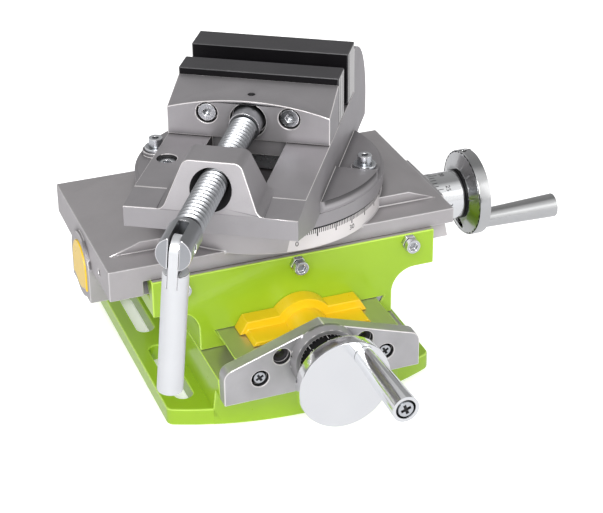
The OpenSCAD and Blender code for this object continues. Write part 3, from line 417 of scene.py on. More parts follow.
def table_face(face):
    centre = face.calc_center_median() - swivel
    flat = math.hypot(centre.x, centre.y)
    if abs(face.normal.z) > 0.3 or abs(flat - BOSS_R) > BOSS_SLACK:
        return 0
    turn = (math.atan2(centre.y, centre.x) - ZERO_ANGLE + BAND_LEAD) % math.tau
    return 2 if turn < BAND_TURN else 0


dress("table_casting", "cast_metal", [table_cast, cast_edge_highlight, band], 0.45, table_face)

# %% [markdown]
# The two bearing brackets are a lighter casting. The front one has four holes, two with screws
# in them and two spare, and light hardly gets into them, so they are painted dark with shade,
# and so are the bevels inside their rims. A face belongs to a hole if all its points lie within
# the hole's radius, so a large face that only surrounds it stays bright.

# %% Brackets
SPARE_X = 19.7 * MM
SPARE_Z = 42.7 * MM
BRACKET_HEAD_R = 3.4 * MM
HOLE_R = 4.6 * MM
HOLE_RIM = 3.7 * MM
LONG_EDGE = 5 * MM
FORWARD = Vector((0, -1, 0))
screws_low, screws_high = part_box("y_bracket_screws")
head_x = screws_high.x - BRACKET_HEAD_R
head_z = (screws_low.z + screws_high.z) / 2
hole_spots = [Vector((side * head_x, 0, head_z)) for side in (-1, 1)]
hole_spots += [Vector((side * SPARE_X, 0, SPARE_Z)) for side in (-1, 1)]


def off_line(point, start, direction):
    offset = point - start
    return (offset - offset.dot(direction) * direction).length


def inside_hole(face, start, direction, radius):
    return max(off_line(vertex.co, start, direction) for vertex in face.verts) < radius


def bracket_face(face):
    return 2 if any(inside_hole(face, spot, FORWARD, HOLE_R) for spot in hole_spots) else 0


# bevels inside a hole take painted shade, the others the painted edge highlight
def bracket_edge(face):
    centre = face.calc_center_median()
    return 2 if min(off_line(centre, spot, FORWARD) for spot in hole_spots) < HOLE_RIM else 1


def long_edge(edge):
    return edge.is_convex and edge.calc_length() > LONG_EDGE


dress("y_bracket", "cast_metal", [bracket_cast, bright_edge_highlight, shade], 0.45, bracket_face, tint=bracket_edge)
dress("x_bracket", "cast_metal", [bracket_cast, cast_edge_highlight], 0.45, keep=long_edge)

# %% [markdown]
# The swivel body and the moving jaw are the same bare casting. The sunk holes round the screw,
# the hole in the left rail and the oil hole are painted dark with shade, and the slot between
# the rails is painted dark with shade over a brownish grime. Each is found by its distance
# from an axis or by its place in the vise's directions.

# %% Dark places of the vise
screw_pos = Vector(joints["vise_screw_turn"]["pos_m"])
UPWARD = Vector((0, 0, 1))
SINK_R = 10.8 * MM
JAW_SINK_R = 8.5 * MM
RAIL_HOLE_R = 4.7 * MM
OIL_R = 3 * MM
OIL_RIM = 3.5 * MM
SLOT_HALF = 23.1 * MM
SLOT_FLOOR = 101.8 * MM
RAIL_Z = 118.5 * MM
BRIDGE_BACK = -67.4 * MM


def middle_of(node):
    low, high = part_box(node)
    return (low + high) / 2


rail_screw_at = middle_of("rail_screw")
oil_hole = middle_of("screw_pin")


def body_face(face):
    in_sink = inside_hole(face, screw_pos, v_axis, SINK_R)
    if in_sink or inside_hole(face, rail_screw_at, UPWARD, RAIL_HOLE_R):
        return 2
    corners = [TO_VISE @ vertex.co for vertex in face.verts]
    in_slot = all(abs(corner.x) < SLOT_HALF and SLOT_FLOOR < corner.z < RAIL_Z for corner in corners)
    return 3 if in_slot and min(corner.y for corner in corners) > BRIDGE_BACK else 0


def jaw_face(face):
    in_sink = inside_hole(face, screw_pos, v_axis, JAW_SINK_R)
    return 2 if in_sink or inside_hole(face, oil_hole, UPWARD, OIL_R) else 0


def jaw_edge(face):
    return 2 if off_line(face.calc_center_median(), oil_hole, UPWARD) < OIL_RIM else 1


print("oil hole at", tuple(round(c / MM, 1) for c in oil_hole), "mm")

# %% [markdown]
# The fold lines of the vise body shine in the photo: the crease where the rails drop to the
# front lip, and the outline of the bridge's front face. Both turn less sharply than other
# edges, so tests on their place pick them out. The round rim of the flange stays as it is.
# In CAD the feet of the bridge end on a level, while the lip slopes, so the points of the
# foot rounds are first lowered to the slope.

# %% Vise castings
ALIGNED = 0.9
FLANGE_R = 58 * MM
FLANGE_RIM = 3 * MM
FOLD = -74.3 * MM
FOLD_SLACK = 0.1 * MM
RAIL_SLACK = 0.3 * MM
BRIDGE_BORE = 12 * MM
BRIDGE_FROM = 1.5 * MM
LIP_LEN = 17 * MM
LIP_DROP = 1.2 * MM
FOOT_IN = 14 * MM
FOOT_OUT = 27 * MM
FOOT_R = 4 * MM
FOOT_FROM = 1 * MM
FOOT_MERGE = 0.02 * MM


def on_fold(edge):
    ends = [TO_VISE @ vertex.co for vertex in edge.verts]
    return all(abs(end.y - FOLD) < FOLD_SLACK and end.z > RAIL_Z - RAIL_SLACK for end in ends)


def off_flange(edge):
    centre = (edge.verts[0].co + edge.verts[1].co) / 2
    return off_line(centre, swivel, UPWARD) < FLANGE_R - FLANGE_RIM


def on_bridge(edge):
    forward = sorted(-face.normal.dot(v_axis) for face in edge.link_faces)
    outside_bore = min(off_line(vertex.co, screw_pos, v_axis) for vertex in edge.verts) > BRIDGE_BORE
    raised = min(vertex.co.z for vertex in edge.verts) > RAIL_Z - BRIDGE_FROM
    return outside_bore and raised and forward[0] < 0.6 and forward[1] > ALIGNED


def on_light_line(edge):
    return on_fold(edge) or on_bridge(edge)


def lower_feet(bm):
    for vertex in bm.verts:
        spot = TO_VISE @ vertex.co
        in_foot = FOOT_IN < abs(spot.x) < FOOT_OUT and spot.z > RAIL_Z - FOOT_FROM
        if spot.y < FOLD and in_foot:
            share = max(0, 1 - (spot.z - RAIL_Z) / FOOT_R)
            vertex.co.z -= LIP_DROP * share * (FOLD - spot.y) / LIP_LEN
    bmesh.ops.remove_doubles(bm, verts=bm.verts, dist=FOOT_MERGE)


# sinks, rail hole and oil hole take painted shade, the slot painted shade over grime, and the bevels and
# light lines the painted edge highlight
dress("vise_body", "cast_metal", [cast, bright_edge_highlight, shade, shade_and_grime], 0.33, body_face, lower_feet,
      keep=off_flange, also=on_light_line)
dress("moving_jaw", "cast_metal", [cast, bright_edge_highlight, shade], 0.4, jaw_face, tint=jaw_edge)

# %% [markdown]
# The jaw plates are blackened steel with ground ends, and their upward faces are painted paler
# as a sheen of the light from above. In the vise's own directions an end face is one whose
# normal points along u, so the normal is turned before the test.

# %% Jaw plates
def plate_face(face):
    along_u = (TO_VISE.to_3x3() @ face.normal).x
    if abs(along_u) > ALIGNED:
        return 2
    # upward faces take the painted sheen
    return 3 if face.normal.z > ALIGNED else 0


dress("fixed_jaw_plate", "black_steel", [black, black_edge_highlight, bare, black_top_sheen], 0.6, plate_face)
dress("moving_jaw_plate", "black_steel", [black, black_edge_highlight, bare, black_top_sheen], 0.6, plate_face)

# %% [markdown]
# The handwheels and cranks are chromed, the side ones a little duller. A wheel's back is a
# shallow cone, and chrome shows every error in its shading, so the fold at the cone's foot is
# softened too, apart from where the crank's hole cuts it. The drums and spacers get narrow
# bevels only: a dial's edge is crisp, because the scale is read there.

# %% Wheels, cranks and dials
SHALLOW = math.radians(12)
SHALLOW_ROOM = 2 * MM
CRANK_ROOM = 6.5 * MM


def shallow_fold(crank):
    start = Vector(joints[crank]["pos_m"])
    direction = Vector(joints[crank]["axis"])

    def picked(edge):
        shallow = SHALLOW < edge.calc_face_angle(0) < SHARP and room_beside(edge) > SHALLOW_ROOM
        return shallow and min(off_line(vertex.co, start, direction) for vertex in edge.verts) > CRANK_ROOM
    return picked


for axis, plating in (("y", chrome), ("x", side_chrome)):
    dress(axis + "_handwheel", "chrome", [plating, plating], 0.7, also=shallow_fold(axis + "_grip_spin"))
    dress(axis + "_crank_handle", "chrome", [plating, plating], 0.5)
    dress(axis + "_spacer", "black_steel", [black, black_edge_highlight], 0.25)
dress("y_dial", "black_steel", [black, pale_ink], 0.3)
dress("x_dial", "chrome", [chrome, zinc_edge_highlight], 0.3)

# %% [markdown]
# The small screws are zinc plated. The heads of the gib screws sit close to their lock nuts
# and have wide sockets, and the heads of the swivel clamp are small. The points of both are
# moved before the edges are softened: towards or away from the screw's axis, and along it.

# %% Screws and pins
GIB_HEAD_R = 3.4 * MM
GIB_HEAD_T = 3 * MM
GIB_SET_BACK = 2.3 * MM
SOCKET_R = 1.9 * MM
SOCKET_WIDER = 1.4
CLAMP_HEAD_R = 4 * MM
CLAMP_SMALLER = 0.84
HEAD_SLACK = 0.1 * MM


def draw_from_axis(vertex, start, direction, factor):
    offset = vertex.co - start
    along = offset.dot(direction) * direction
    vertex.co = start + along + factor * (offset - along)


def set_back_gib_heads(bm):
    low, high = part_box("x_gib_screws")
    reach = high.x - GIB_HEAD_R
    axes = [Vector((x, 0, (low.z + high.z) / 2)) for x in (-reach, 0, reach)]
    for vertex in bm.verts:
        if vertex.co.y < low.y + GIB_HEAD_T + HEAD_SLACK:
            axis_at = min(axes, key=lambda spot: off_line(vertex.co, spot, FORWARD))
            if off_line(vertex.co, axis_at, FORWARD) < SOCKET_R:
                draw_from_axis(vertex, axis_at, FORWARD, SOCKET_WIDER)
            vertex.co.y += GIB_SET_BACK


def shrink_clamp_heads(bm):
    seat_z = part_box("clamp_washers")[1].z
    reach = max((TO_VISE @ vertex.co).x for vertex in bm.verts) - CLAMP_HEAD_R
    axes = [VISE @ Vector((u, 0, 0)) for u in (-reach, reach)]
    for vertex in bm.verts:
        axis_at = min(axes, key=lambda spot: off_line(vertex.co, spot, UPWARD))
        on_rim = off_line(vertex.co, axis_at, UPWARD) > 0.9 * CLAMP_HEAD_R
        if on_rim or vertex.co.z > seat_z + HEAD_SLACK:
            draw_from_axis(vertex, axis_at, UPWARD, CLAMP_SMALLER)
            vertex.co.z = seat_z + CLAMP_SMALLER * (vertex.co.z - seat_z)


for node in ("y_gib_screws", "x_gib_nuts", "y_gib_nuts", "moving_jaw_screws", "fixed_jaw_screws",
             "clamp_washers", "rail_screw", "fork_pin"):
    dress(node, "zinc", [zinc, zinc_edge_highlight], 0.3)
dress("x_gib_screws", "zinc", [zinc, zinc_edge_highlight], 0.3, reshape=set_back_gib_heads)
dress("clamp_screws", "zinc", [zinc, zinc_edge_highlight], 0.3, reshape=shrink_clamp_heads)
dress("swing_handle", "zinc", [bright, zinc_edge_highlight], 0.4)

# %% [markdown]
# The vise screw is drawn in CAD as a plain bar. Its thread is a helix, and the spin operator
# makes one when it also moves along the axis at each step: a small closed profile, swept in
# this way, becomes the thread's ridge. The bar inside it is turned down to the root of the
# thread and painted dark as the shade between the crests, which makes the crests stand out.

# %% Vise screw
CREST_R = 6.2 * MM
ROOT_R = 5.2 * MM
ROOT_SINK = 0.2 * MM
PITCH = 3 * MM
CREST_HALF = 0.07 * PITCH
FOOT_HALF = 0.30 * PITCH
STEPS = 28
NECK = 8 * MM
FORK = 18 * MM
FORK_SHOULDER = 1.5 * MM
NECK_SHOULDER = 1 * MM


def lowest_v(node):
    return min((TO_VISE @ vertex.co).y for vertex in nodes[node].data.vertices)


thread_from = lowest_v("vise_screw") + FORK + FORK_SHOULDER
thread_to = lowest_v("moving_jaw") - NECK - NECK_SHOULDER


def sweep(bm, ring, axis, angle, steps, rise):
    sides = [bm.edges.new((ring[i], ring[(i + 1) % len(ring)])) for i in range(len(ring))]
    bm.faces.new(ring)
    swept = bmesh.ops.spin(bm, geom=ring + sides, cent=(0, 0, 0), axis=axis, dvec=rise, angle=angle,
                           steps=steps, use_merge=False)
    bm.faces.new([item for item in swept["geom_last"] if isinstance(item, bmesh.types.BMVert)])


def add_thread(bm, start, end):
    turns = int((end - start) / PITCH)
    foot_r = ROOT_R - ROOT_SINK
    shape = [(foot_r, -FOOT_HALF), (CREST_R, -CREST_HALF), (CREST_R, CREST_HALF), (foot_r, FOOT_HALF)]
    ring = [bm.verts.new((radius, start + PITCH / 2 + along, 0)) for radius, along in shape]
    sweep(bm, ring, (0, 1, 0), math.tau * turns, STEPS * turns, (0, PITCH / STEPS, 0))
    return turns


def add_bar(bm, radius, start, end):
    along_v = Matrix.Translation((0, (start + end) / 2, 0)) @ Matrix.Rotation(math.radians(-90), 4, "X")
    return bmesh.ops.create_cone(bm, cap_ends=True, cap_tris=False, segments=48, radius1=radius,
                                 radius2=radius, depth=end - start, matrix=along_v)["verts"]


bm = bmesh.new()
turns = add_thread(bm, thread_from, thread_to)
for vertex in add_bar(bm, ROOT_R, thread_from - FORK_SHOULDER, thread_to + NECK_SHOULDER):
    for face in vertex.link_faces:
        face.material_index = 1
bmesh.ops.transform(bm, matrix=VISE @ Matrix.Translation((0, 0, screw_pos.z)), verts=bm.verts)
add_piece(bm, "vise_thread", "vise_screw", [thread, root_shade])
print("thread turns", turns)

# %% [markdown]
# The rest of the screw is its smooth neck at the jaw and its fork at the handle. Both are cut
# out of the CAD part with two planes across the screw, and the cut ends are closed again. The
# walls inside the fork lie close to the handle and are painted dark as the shade in the gap.

# %% Screw ends
FORK_SLOT_HALF = 2.8 * MM
END_BEVEL = 0.35 * MM
END_LAP = 0.1 * MM
CUT_MERGE = 0.001 * MM
handle_pin = Vector(joints["handle_swing"]["pos_m"])
pin_axis = Vector(joints["handle_swing"]["axis"]).normalized()


def cut_screw(v, side):
    part = solid_copy("vise_screw")
    bmesh.ops.transform(part, matrix=TO_VISE, verts=part.verts)
    everything = part.verts[:] + part.edges[:] + part.faces[:]
    cut = bmesh.ops.bisect_plane(part, geom=everything, dist=CUT_MERGE, plane_co=(0, v, 0),
                                 plane_no=(0, side, 0), clear_outer=True)
    rim = [item for item in cut["geom_cut"] if isinstance(item, bmesh.types.BMEdge)]
    bmesh.ops.contextual_create(part, geom=rim)
    soften(part, END_BEVEL)
    bmesh.ops.transform(part, matrix=VISE, verts=part.verts)
    return part


def off_pin(vertex):
    return abs((vertex.co - handle_pin).dot(pin_axis))


fork = cut_screw(thread_from - FORK_SHOULDER + END_LAP, 1)
for face in fork.faces:
    wall = abs(face.normal.dot(pin_axis)) > ALIGNED
    if wall and max(off_pin(vertex) for vertex in face.verts) < FORK_SLOT_HALF:
        face.material_index = 2
add_piece(fork, "vise_screw_fork", "vise_screw", [thread, zinc_edge_highlight, root_shade], ["vise_screw"])
neck = cut_screw(thread_to + NECK_SHOULDER - END_LAP, -1)
add_piece(neck, "vise_screw_neck", "vise_screw", [thread, zinc_edge_highlight])
print("fork and neck cut from the CAD screw")

# %% [markdown]
# The bracket screws and the crank ends have cross recesses. A recess is easy to model from
# its outline: twelve points make the cross, a ring of points makes the edge of the head, a
# bridge between the two loops makes the face, and the cross is then pushed in.

# %% Cross recess heads
RING = 36
ARM_SHARE = 0.3
DOME_SHARE = 0.96
WALL_SHARE = 0.35
TOWARDS_FRONT = Matrix.Rotation(math.radians(90), 4, "X")
TOWARDS_RIGHT = Matrix.Rotation(math.radians(90), 4, "Y")


def closed_loop(bm, points):
    loop = [bm.verts.new(point) for point in points]
    return loop, [bm.edges.new((loop[i], loop[(i + 1) % len(loop)])) for i in range(len(loop))]


def cross_head(bm, seat, root_r, top_r, height, arm, depth):
    half = arm * ARM_SHARE
    outline = [(half, half), (half, arm), (-half, arm), (-half, half), (-arm, half), (-arm, -half),
               (-half, -half), (-half, -arm), (half, -arm), (half, -half), (arm, -half), (arm, half)]
    cross, cross_edges = closed_loop(bm, [(x, y, height) for x, y in outline])
    angles = [math.tau * (k + 0.5) / RING for k in range(RING)]
    rings = []
    for radius, z in ((top_r, height * DOME_SHARE), (root_r, height * WALL_SHARE), (root_r, 0)):
        rings.append(closed_loop(bm, [(radius * math.cos(a), radius * math.sin(a), z) for a in angles]))
    bmesh.ops.bridge_loops(bm, edges=cross_edges + rings[0][1])
    bmesh.ops.bridge_loops(bm, edges=rings[0][1] + rings[1][1])
    bmesh.ops.bridge_loops(bm, edges=rings[1][1] + rings[2][1])
    bm.faces.new(list(reversed(rings[2][0])))
    floor = bm.faces.new(cross)
    pushed = bmesh.ops.extrude_discrete_faces(bm, faces=[floor])["faces"][0]
    bmesh.ops.translate(bm, verts=pushed.verts, vec=(0, 0, -depth))
    # the walls and floor of the cross take material 1, painted shade inside the recess
    for face in pushed.verts[0].link_faces:
        face.material_index = 1
    pushed.material_index = 1
    made = cross + [vertex for ring, _ in rings for vertex in ring] + list(pushed.verts)
    bmesh.ops.transform(bm, matrix=seat, verts=list(set(made)))


print("a head has", RING, "points round its edge")

# %% [markdown]
# The two bracket screws sit in counterbores of the front bracket. Each cross is turned a
# little, as a screwdriver leaves it.

# %% Bracket screw heads
BRACKET_T = 7 * MM
HEAD_SINK = 3 * MM
HEAD_TURN = Matrix.Rotation(0.5, 4, "Z")
BRACKET_HEAD = {"root_r": BRACKET_HEAD_R, "top_r": 2.7 * MM, "height": 2.2 * MM,
                "arm": 1.9 * MM, "depth": 1 * MM}
bm = bmesh.new()
for side in (-1, 1):
    seat = Matrix.Translation((side * head_x, way_low.y - BRACKET_T + HEAD_SINK, head_z)) @ TOWARDS_FRONT
    cross_head(bm, seat @ HEAD_TURN, **BRACKET_HEAD)
add_piece(bm, "bracket_screw_heads", "base", [zinc, shade], ["y_bracket_screws"])
print("bracket heads at x", round(head_x / MM, 1), "z", round(head_z / MM, 1))

# %% [markdown]
# Each crank handle turns on a long screw whose head shows at the handle's end. The head is the
# same cross recess, and a plain shaft behind it reaches back into the wheel.

# %% Crank end screws
CRANK_HEAD_H = 2.2 * MM
CRANK_SHAFT_R = 1.95 * MM
SHAFT_GAP = 0.1 * MM
CRANK_TURN = Matrix.Rotation(0.35, 4, "Z")
CRANK_HEAD = {"root_r": 4 * MM, "top_r": 3.4 * MM, "height": CRANK_HEAD_H,
              "arm": 2.3 * MM, "depth": 1.2 * MM}


def crank_end(axis, turn_to):
    low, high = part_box(axis + "_crank_spindle")
    pos = Vector(joints[axis + "_grip_spin"]["pos_m"])
    if axis == "y":
        tip = Vector((pos.x, low.y, pos.z))
        inward = Vector((0, 1, 0))
        depth = high.y - low.y
    else:
        tip = Vector((high.x, pos.y, pos.z))
        inward = Vector((-1, 0, 0))
        depth = high.x - low.x
    bm = bmesh.new()
    seat = Matrix.Translation(tip + inward * CRANK_HEAD_H) @ turn_to
    cross_head(bm, seat @ CRANK_TURN, **CRANK_HEAD)
    shaft = seat @ Matrix.Translation((0, 0, -(depth - CRANK_HEAD_H) / 2))
    bmesh.ops.create_cone(bm, cap_ends=True, segments=32, radius1=CRANK_SHAFT_R, radius2=CRANK_SHAFT_R,
                          depth=depth - CRANK_HEAD_H - SHAFT_GAP, matrix=shaft)
    add_piece(bm, axis + "_crank_end", axis + "_screw", [zinc, shade], [axis + "_crank_spindle"])
    print(axis, "crank screw", round(depth / MM, 1), "mm long")


crank_end("y", TOWARDS_FRONT)
crank_end("x", TOWARDS_RIGHT)

# %% [markdown]
# The swivel scale is engraved and filled with black: a short tick for each degree, a longer
# one each tenth. Each tick is one small box, moved out to the wall and turned round the
# swivel, and it stands a few hundredths of a millimetre proud so that it shows.

# %% Swivel scale
TICK_OUT = 0.04 * MM
SCALE_DEGREES = 131
SCALE_DROP = 0.9 * MM
LONG_TICK = (0.55 * MM, 4.2 * MM)
SHORT_TICK = (0.38 * MM, 2.6 * MM)
scale_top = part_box("vise_body")[0].z - SCALE_DROP


def add_tick(bm, matrix, wide, high, thick):
    size = Matrix.Diagonal((thick, wide, high, 1))
    bmesh.ops.create_cube(bm, size=1, matrix=matrix @ size)


def round_swivel(degree, z):
    turn = ZERO_ANGLE + math.radians(degree)
    return Matrix.Translation((swivel.x, swivel.y, z)) @ Matrix.Rotation(turn, 4, "Z")


bm = bmesh.new()
for degree in range(SCALE_DEGREES):
    wide, high = LONG_TICK if degree % 10 == 0 else SHORT_TICK
    spot = round_swivel(degree, scale_top - high / 2) @ Matrix.Translation((BOSS_R, 0, 0))
    add_tick(bm, spot, wide, high, 2 * TICK_OUT)
add_piece(bm, "swivel_scale", "table", [dark_ink])
print("swivel ticks", SCALE_DEGREES)

# %% [markdown]
# Above the ticks a dark line paints the shadow in the gap where the vise body turns on the
# table. It is a small closed outline, spun round the swivel through the length of the scale.

# %% Swivel gap shadow
GAP_SHADOW_H = 1.2 * MM
GAP_SHADOW_LOW = 0.5 * MM
GAP_SHADOW_SINK = 0.3 * MM
GAP_SHADOW_STEPS = 66
bm = bmesh.new()
line_in = BOSS_R - GAP_SHADOW_SINK
line_out = BOSS_R + TICK_OUT
corners = [(line_in, 0), (line_out, 0), (line_out, GAP_SHADOW_H), (line_in, GAP_SHADOW_H)]
ring = [bm.verts.new((out, 0, scale_top - GAP_SHADOW_LOW + up)) for out, up in corners]
sweep(bm, ring, (0, 0, 1), math.radians(SCALE_DEGREES), GAP_SHADOW_STEPS, (0, 0, 0))
bmesh.ops.transform(bm, matrix=round_swivel(0, 0), verts=bm.verts)
add_piece(bm, "swivel_gap_shadow", "table", [dark_ink])
print("joint line in", GAP_SHADOW_STEPS, "steps")

# %% [markdown]
# The ends of the jaw plates show how each was built up: dark joint lines run down the ground
# faces. They are the same small boxes, set on the end of each plate in the vise's directions.

# %% Jaw joint lines
PLATE_LINE = 0.7 * MM
PLATE_LINE_SHORTER = 2.4 * MM
PLATE_LINE_T = 0.02 * MM


def plate_lines(name, body, node, shares):
    corners = [TO_VISE @ vertex.co for vertex in nodes[node].data.vertices]
    low = Vector([min(corner[i] for corner in corners) for i in range(3)])
    high = Vector([max(corner[i] for corner in corners) for i in range(3)])
    tall = high.z - low.z - PLATE_LINE_SHORTER
    bm = bmesh.new()
    for end in (low.x, high.x):
        for share in shares:
            spot = (end, low.y + share * (high.y - low.y), (low.z + high.z) / 2)
            add_tick(bm, VISE @ Matrix.Translation(spot), PLATE_LINE, tall, PLATE_LINE_T)
    add_piece(bm, name, body, [dark_ink])


plate_lines("moving_plate_lines", "moving_jaw", "moving_jaw_plate", (0.3, 0.75))
plate_lines("fixed_plate_lines", "vise", "fixed_jaw_plate", (0.2,))
print("joint lines drawn")

# %% [markdown]
# Numerals start as text with a little thickness. The text is turned into a mesh, and each
# point of it is then laid on the drum: its x becomes an angle, its y a height and its z a
# distance from the drum's wall. Only plain numbers are used.

# %% Numerals on a drum
NUMBER_DROP = 6.2 * MM
NUMBER_H = 3.4 * MM
NUMBER_EVERY = 30


def number_mesh(text, size):
    curve = bpy.data.curves.new("number", "FONT")
    curve.body = text
    curve.size = size
    curve.extrude = TICK_OUT
    curve.align_x = "CENTER"
    curve.align_y = "CENTER"
    holder = bpy.data.objects.new("number", curve)
    bpy.context.scene.collection.objects.link(holder)
    graph = bpy.context.evaluated_depsgraph_get()
    mesh = bpy.data.meshes.new_from_object(holder.evaluated_get(graph))
    bpy.data.objects.remove(holder)
    bpy.data.curves.remove(curve)
    return mesh


def wrap_number(bm, text, size, radius, spot):
    mesh = number_mesh(text, size)
    start = len(bm.verts)
    bm.from_mesh(mesh)
    bpy.data.meshes.remove(mesh)
    bm.verts.ensure_lookup_table()
    fresh = bm.verts[start:]
    for vertex in fresh:
        turn = vertex.co.x / radius
        out = radius + vertex.co.z
        vertex.co = Vector((out * math.cos(turn), out * math.sin(turn), vertex.co.y))
    bmesh.ops.transform(bm, matrix=spot, verts=fresh)


bm = bmesh.new()
for degree in range(0, SCALE_DEGREES, NUMBER_EVERY):
    wrap_number(bm, str(degree), NUMBER_H, BOSS_R, round_swivel(degree, scale_top - NUMBER_DROP))
add_piece(bm, "swivel_numbers", "table", [dark_ink])
print("swivel numbers placed")

# %% [markdown]
# The dials count the turn of each screw. The front dial is black with pale lines; the one on
# the right is bright with dark lines. Every fifth line is longer and has a number.

# %% Dial scales
DIAL_R = 12 * MM
DIAL_STEPS = 40
DIAL_LONG = 5 * MM
DIAL_SHORT = 3 * MM
DIAL_LINE = 0.3 * MM
DIAL_EDGE = 0.6 * MM
DIAL_NUMBER_UP = 8 * MM
DIAL_NUMBER_H = 3.2 * MM


def dial_scale(axis, drum, material):
    bm = bmesh.new()
    for step in range(DIAL_STEPS):
        high = DIAL_LONG if step % 5 == 0 else DIAL_SHORT
        turned = drum @ Matrix.Rotation(math.tau * step / DIAL_STEPS, 4, "Z")
        spot = turned @ Matrix.Translation((DIAL_R, 0, DIAL_EDGE + high / 2))
        add_tick(bm, spot, DIAL_LINE, high, 2 * TICK_OUT)
    for step in range(0, DIAL_STEPS, 5):
        turned = drum @ Matrix.Rotation(math.tau * step / DIAL_STEPS, 4, "Z")
        spot = turned @ Matrix.Translation((0, 0, DIAL_NUMBER_UP))
        wrap_number(bm, str(step), DIAL_NUMBER_H, DIAL_R, spot)
    add_piece(bm, axis + "_dial_scale", axis + "_screw", [material])


y_axis_at = Vector(joints["y_screw_turn"]["pos_m"])
x_axis_at = Vector(joints["x_screw_turn"]["pos_m"])
y_drum = Matrix.Translation((y_axis_at.x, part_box("y_dial")[1].y, y_axis_at.z)) @ TOWARDS_FRONT
x_drum = Matrix.Translation((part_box("x_dial")[0].x, x_axis_at.y, x_axis_at.z)) @ TOWARDS_RIGHT
dial_scale("y", y_drum, pale_ink)
dial_scale("x", x_drum, dark_ink)
print("dials marked")

# %% [markdown]
# CAD parts that keep their own mesh, all of them inside the machine or tiny, still need a
# finish. Each takes the material of its metal.

# %% Remaining parts
def finish_inside(names, material):
    for node in names:
        nodes[node].data.materials.clear()
        nodes[node].data.materials.append(material)
    print(material.name, "on", len(names), "inner parts")


finish_inside(("y_bush", "x_bush", "x_nut", "y_nut"), bronze)
finish_inside(("x_gib", "y_gib", "x_bracket_screws", "swivel_pin", "y_lead_screw", "y_collar",
               "x_lead_screw", "x_collar", "clamp_nuts", "jaw_keeper", "keeper_screws"), zinc)
finish_inside(("y_set_screw", "x_set_screw", "screw_pin"), black)

# %% [markdown]
# The studio is a white room. The camera sees a white sky, while the metal mirrors a sky that is
# bright in front and dark behind, because polished metal only looks polished when it has
# something dark to mirror. The light that falls on everything else comes from a third, soft
# sky. The kind of ray decides which of the three it meets.

# %% World
def grey_ramp(tree, value, stops):
    span = tree.nodes.new("ShaderNodeMapRange")
    span.inputs["From Min"].default_value = -1
    tree.links.new(value, span.inputs["Value"])
    node = tree.nodes.new("ShaderNodeValToRGB")
    first, last = node.color_ramp.elements
    first.position, last.position = stops[0][0], stops[-1][0]
    first.color = (stops[0][1],) * 3 + (1,)
    last.color = (stops[-1][1],) * 3 + (1,)
    for position, grey in stops[1:-1]:
        node.color_ramp.elements.new(position).color = (grey, grey, grey, 1)
    tree.links.new(span.outputs["Result"], node.inputs["Fac"])
    return node.outputs["Color"]


def switch(tree, factor, off, on):
    node = tree.nodes.new("ShaderNodeMix")
    node.data_type = "RGBA"
    tree.links.new(factor, node.inputs["Factor"])
    for socket, source in ((node.inputs["A"], off), (node.inputs["B"], on)):
        if isinstance(source, tuple):
            socket.default_value = source
        else:
            tree.links.new(source, socket)
    return node.outputs["Result"]


WHITE = (1, 1, 1, 1)
SOFT_SKY = [(0.0, 0.7), (0.5, 0.84), (1.0, 0.55)]
MIRRORED_SKY = [(0.0, 0.95), (0.3, 0.8), (0.52, 0.26), (0.75, 0.28), (1.0, 0.34)]
world = bpy.data.worlds.new("studio")
bpy.context.scene.world = world
world.use_nodes = True
air = world.node_tree
air_rays = air.nodes.new("ShaderNodeLightPath").outputs
split = air.nodes.new("ShaderNodeSeparateXYZ")
air.links.new(air.nodes.new("ShaderNodeTexCoord").outputs["Generated"], split.inputs["Vector"])
soft = grey_ramp(air, split.outputs["Z"], SOFT_SKY)
mirrored = grey_ramp(air, split.outputs["Y"], MIRRORED_SKY)
lit = switch(air, air_rays["Is Glossy Ray"], soft, mirrored)
sky = switch(air, air_rays["Is Camera Ray"], lit, WHITE)
air.links.new(sky, air.nodes["Background"].inputs["Color"])
air.nodes["Background"].inputs["Strength"].default_value = 1
print("world ready")

# %% [markdown]
# The floor is white paper that takes a soft shadow. Seen by the camera it glows a little, so
# that it meets the sky without a line, and Ambient Occlusion takes that glow away close to the
# base, where the shadow belongs. In reflections it is greyer. Two dark cards stand outside the
# picture for the chrome to mirror.

# %% Floor and cards
SHADOW_REACH = 9 * MM
CAMERA_GLOW = (0.62, 0.62, 0.62, 1)
MIRROR_GLOW = (0.50, 0.50, 0.51, 1)
MIRROR_PAPER = (0.3, 0.3, 0.31, 1)
NO_GLOW = (0, 0, 0, 1)


def stage_plane(name, matrix, width, depth, material):
    bm = bmesh.new()
    bmesh.ops.create_grid(bm, x_segments=1, y_segments=1, size=0.5)
    bmesh.ops.transform(bm, matrix=matrix @ Matrix.Diagonal((width, depth, 1, 1)), verts=bm.verts)
    mesh = bpy.data.meshes.new(name)
    bm.to_mesh(mesh)
    bm.free()
    mesh.materials.append(material)
    plane = bpy.data.objects.new(name, mesh)
    bpy.context.scene.collection.objects.link(plane)
    return plane


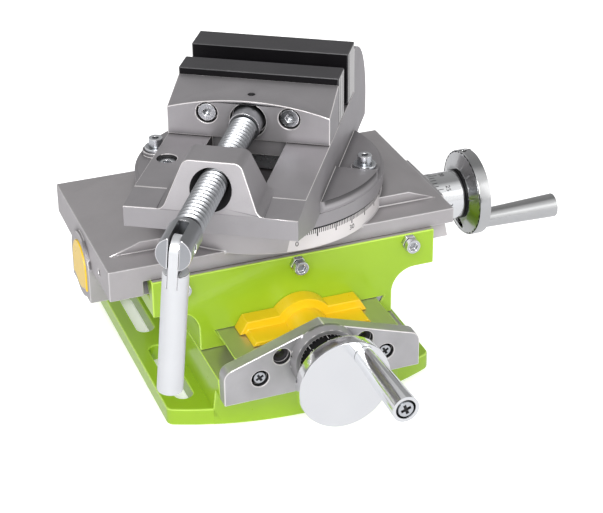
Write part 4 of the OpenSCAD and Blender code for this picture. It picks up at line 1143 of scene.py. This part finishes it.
paper = surface("paper", (0.93, 0.93, 0.93), (0.91, 0.91, 0.91), (0.8, 0.9), bump=0.0)
sheet = paper.node_tree
sheet_rays = sheet.nodes.new("ShaderNodeLightPath").outputs
sheet_shader = sheet.nodes["Principled BSDF"].inputs
open_floor = sheet.nodes.new("ShaderNodeAmbientOcclusion")
open_floor.inputs["Distance"].default_value = SHADOW_REACH
open_floor.inputs["Color"].default_value = CAMERA_GLOW
mirror_glow = switch(sheet, sheet_rays["Is Glossy Ray"], NO_GLOW, MIRROR_GLOW)
glow = switch(sheet, sheet_rays["Is Camera Ray"], mirror_glow, open_floor.outputs["Color"])
sheet.links.new(glow, sheet_shader["Emission Color"])
sheet_shader["Emission Strength"].default_value = 1
plain = sheet_shader["Base Color"].links[0].from_socket
dimmed = switch(sheet, sheet_rays["Is Glossy Ray"], plain, MIRROR_PAPER)
sheet.links.new(dimmed, sheet_shader["Base Color"])
card = surface("card", (0.02, 0.02, 0.02), (0.015, 0.015, 0.015), (0.8, 0.9), bump=0.0)
stage_plane("floor", Matrix.Identity(4), 6, 6, paper)
front_card = Matrix.Translation((0.10, -0.75, 0.05)) @ TOWARDS_FRONT
stage_plane("front_card", front_card, 0.5, 0.16, card).visible_camera = False
side_card = Matrix.Translation((0.8, -0.1, 0.10)) @ TOWARDS_RIGHT
stage_plane("side_card", side_card, 0.2, 0.5, card).visible_camera = False
print("stage ready")

# %% [markdown]
# Three large square lamps light the object: the key from the front left, where the photo's
# light comes from, a weak fill from the right, and a faint one from behind for the rear edges.

# %% Lamps
LAMP_SIZE = 0.8


def lamp(name, stand, aim, power):
    data = bpy.data.lights.new(name, "AREA")
    data.shape = "RECTANGLE"
    data.size = LAMP_SIZE
    data.size_y = LAMP_SIZE
    data.energy = power
    light = bpy.data.objects.new(name, data)
    bpy.context.scene.collection.objects.link(light)
    light.location = stand
    light.rotation_euler = (Vector(aim) - Vector(stand)).to_track_quat("-Z", "Y").to_euler()


lamp("key", (-0.5, -1.10, 0.85), (0, 0, 0.06), 17)
lamp("fill", (0.9, -0.8, 0.5), (0, 0, 0.05), 1.5)
lamp("back", (0.1, 0.9, 0.9), (0, 0, 0.08), 0.5)
print("lamps ready")

# %% [markdown]
# The camera was matched to the photo from points measured on both: it stands in front and to
# the left, looks down by 27 degrees and uses a long lens. The lens shift stands for the crop
# of the photo.

# %% Camera
CAMERA_STAND = (-0.2385, -0.6959, 0.4519)
CAMERA_BACK = (-0.3408, -0.8213, 0.4576)
CAMERA_ROLL = math.radians(0.34)
camera_data = bpy.data.cameras.new("camera")
camera_data.lens = 103.24
camera_data.sensor_width = 36
camera_data.shift_x = -0.0831
camera_data.shift_y = -0.0951
camera = bpy.data.objects.new("camera", camera_data)
bpy.context.scene.collection.objects.link(camera)
back = Vector(CAMERA_BACK).normalized()
level = Vector((0, 0, 1)).cross(back).normalized()
upright = back.cross(level)
right = math.cos(CAMERA_ROLL) * level + math.sin(CAMERA_ROLL) * upright
above = back.cross(right)
facing = Matrix((right, above, back)).transposed().to_4x4()
camera.matrix_world = Matrix.Translation(CAMERA_STAND) @ facing
bpy.context.scene.camera = camera
bpy.context.scene.view_settings.view_transform = "Standard"
print("camera at", tuple(round(c, 3) for c in camera.location))

# %% [markdown]
# The last step updates the view layer.

# %% Update
bpy.context.view_layer.update()
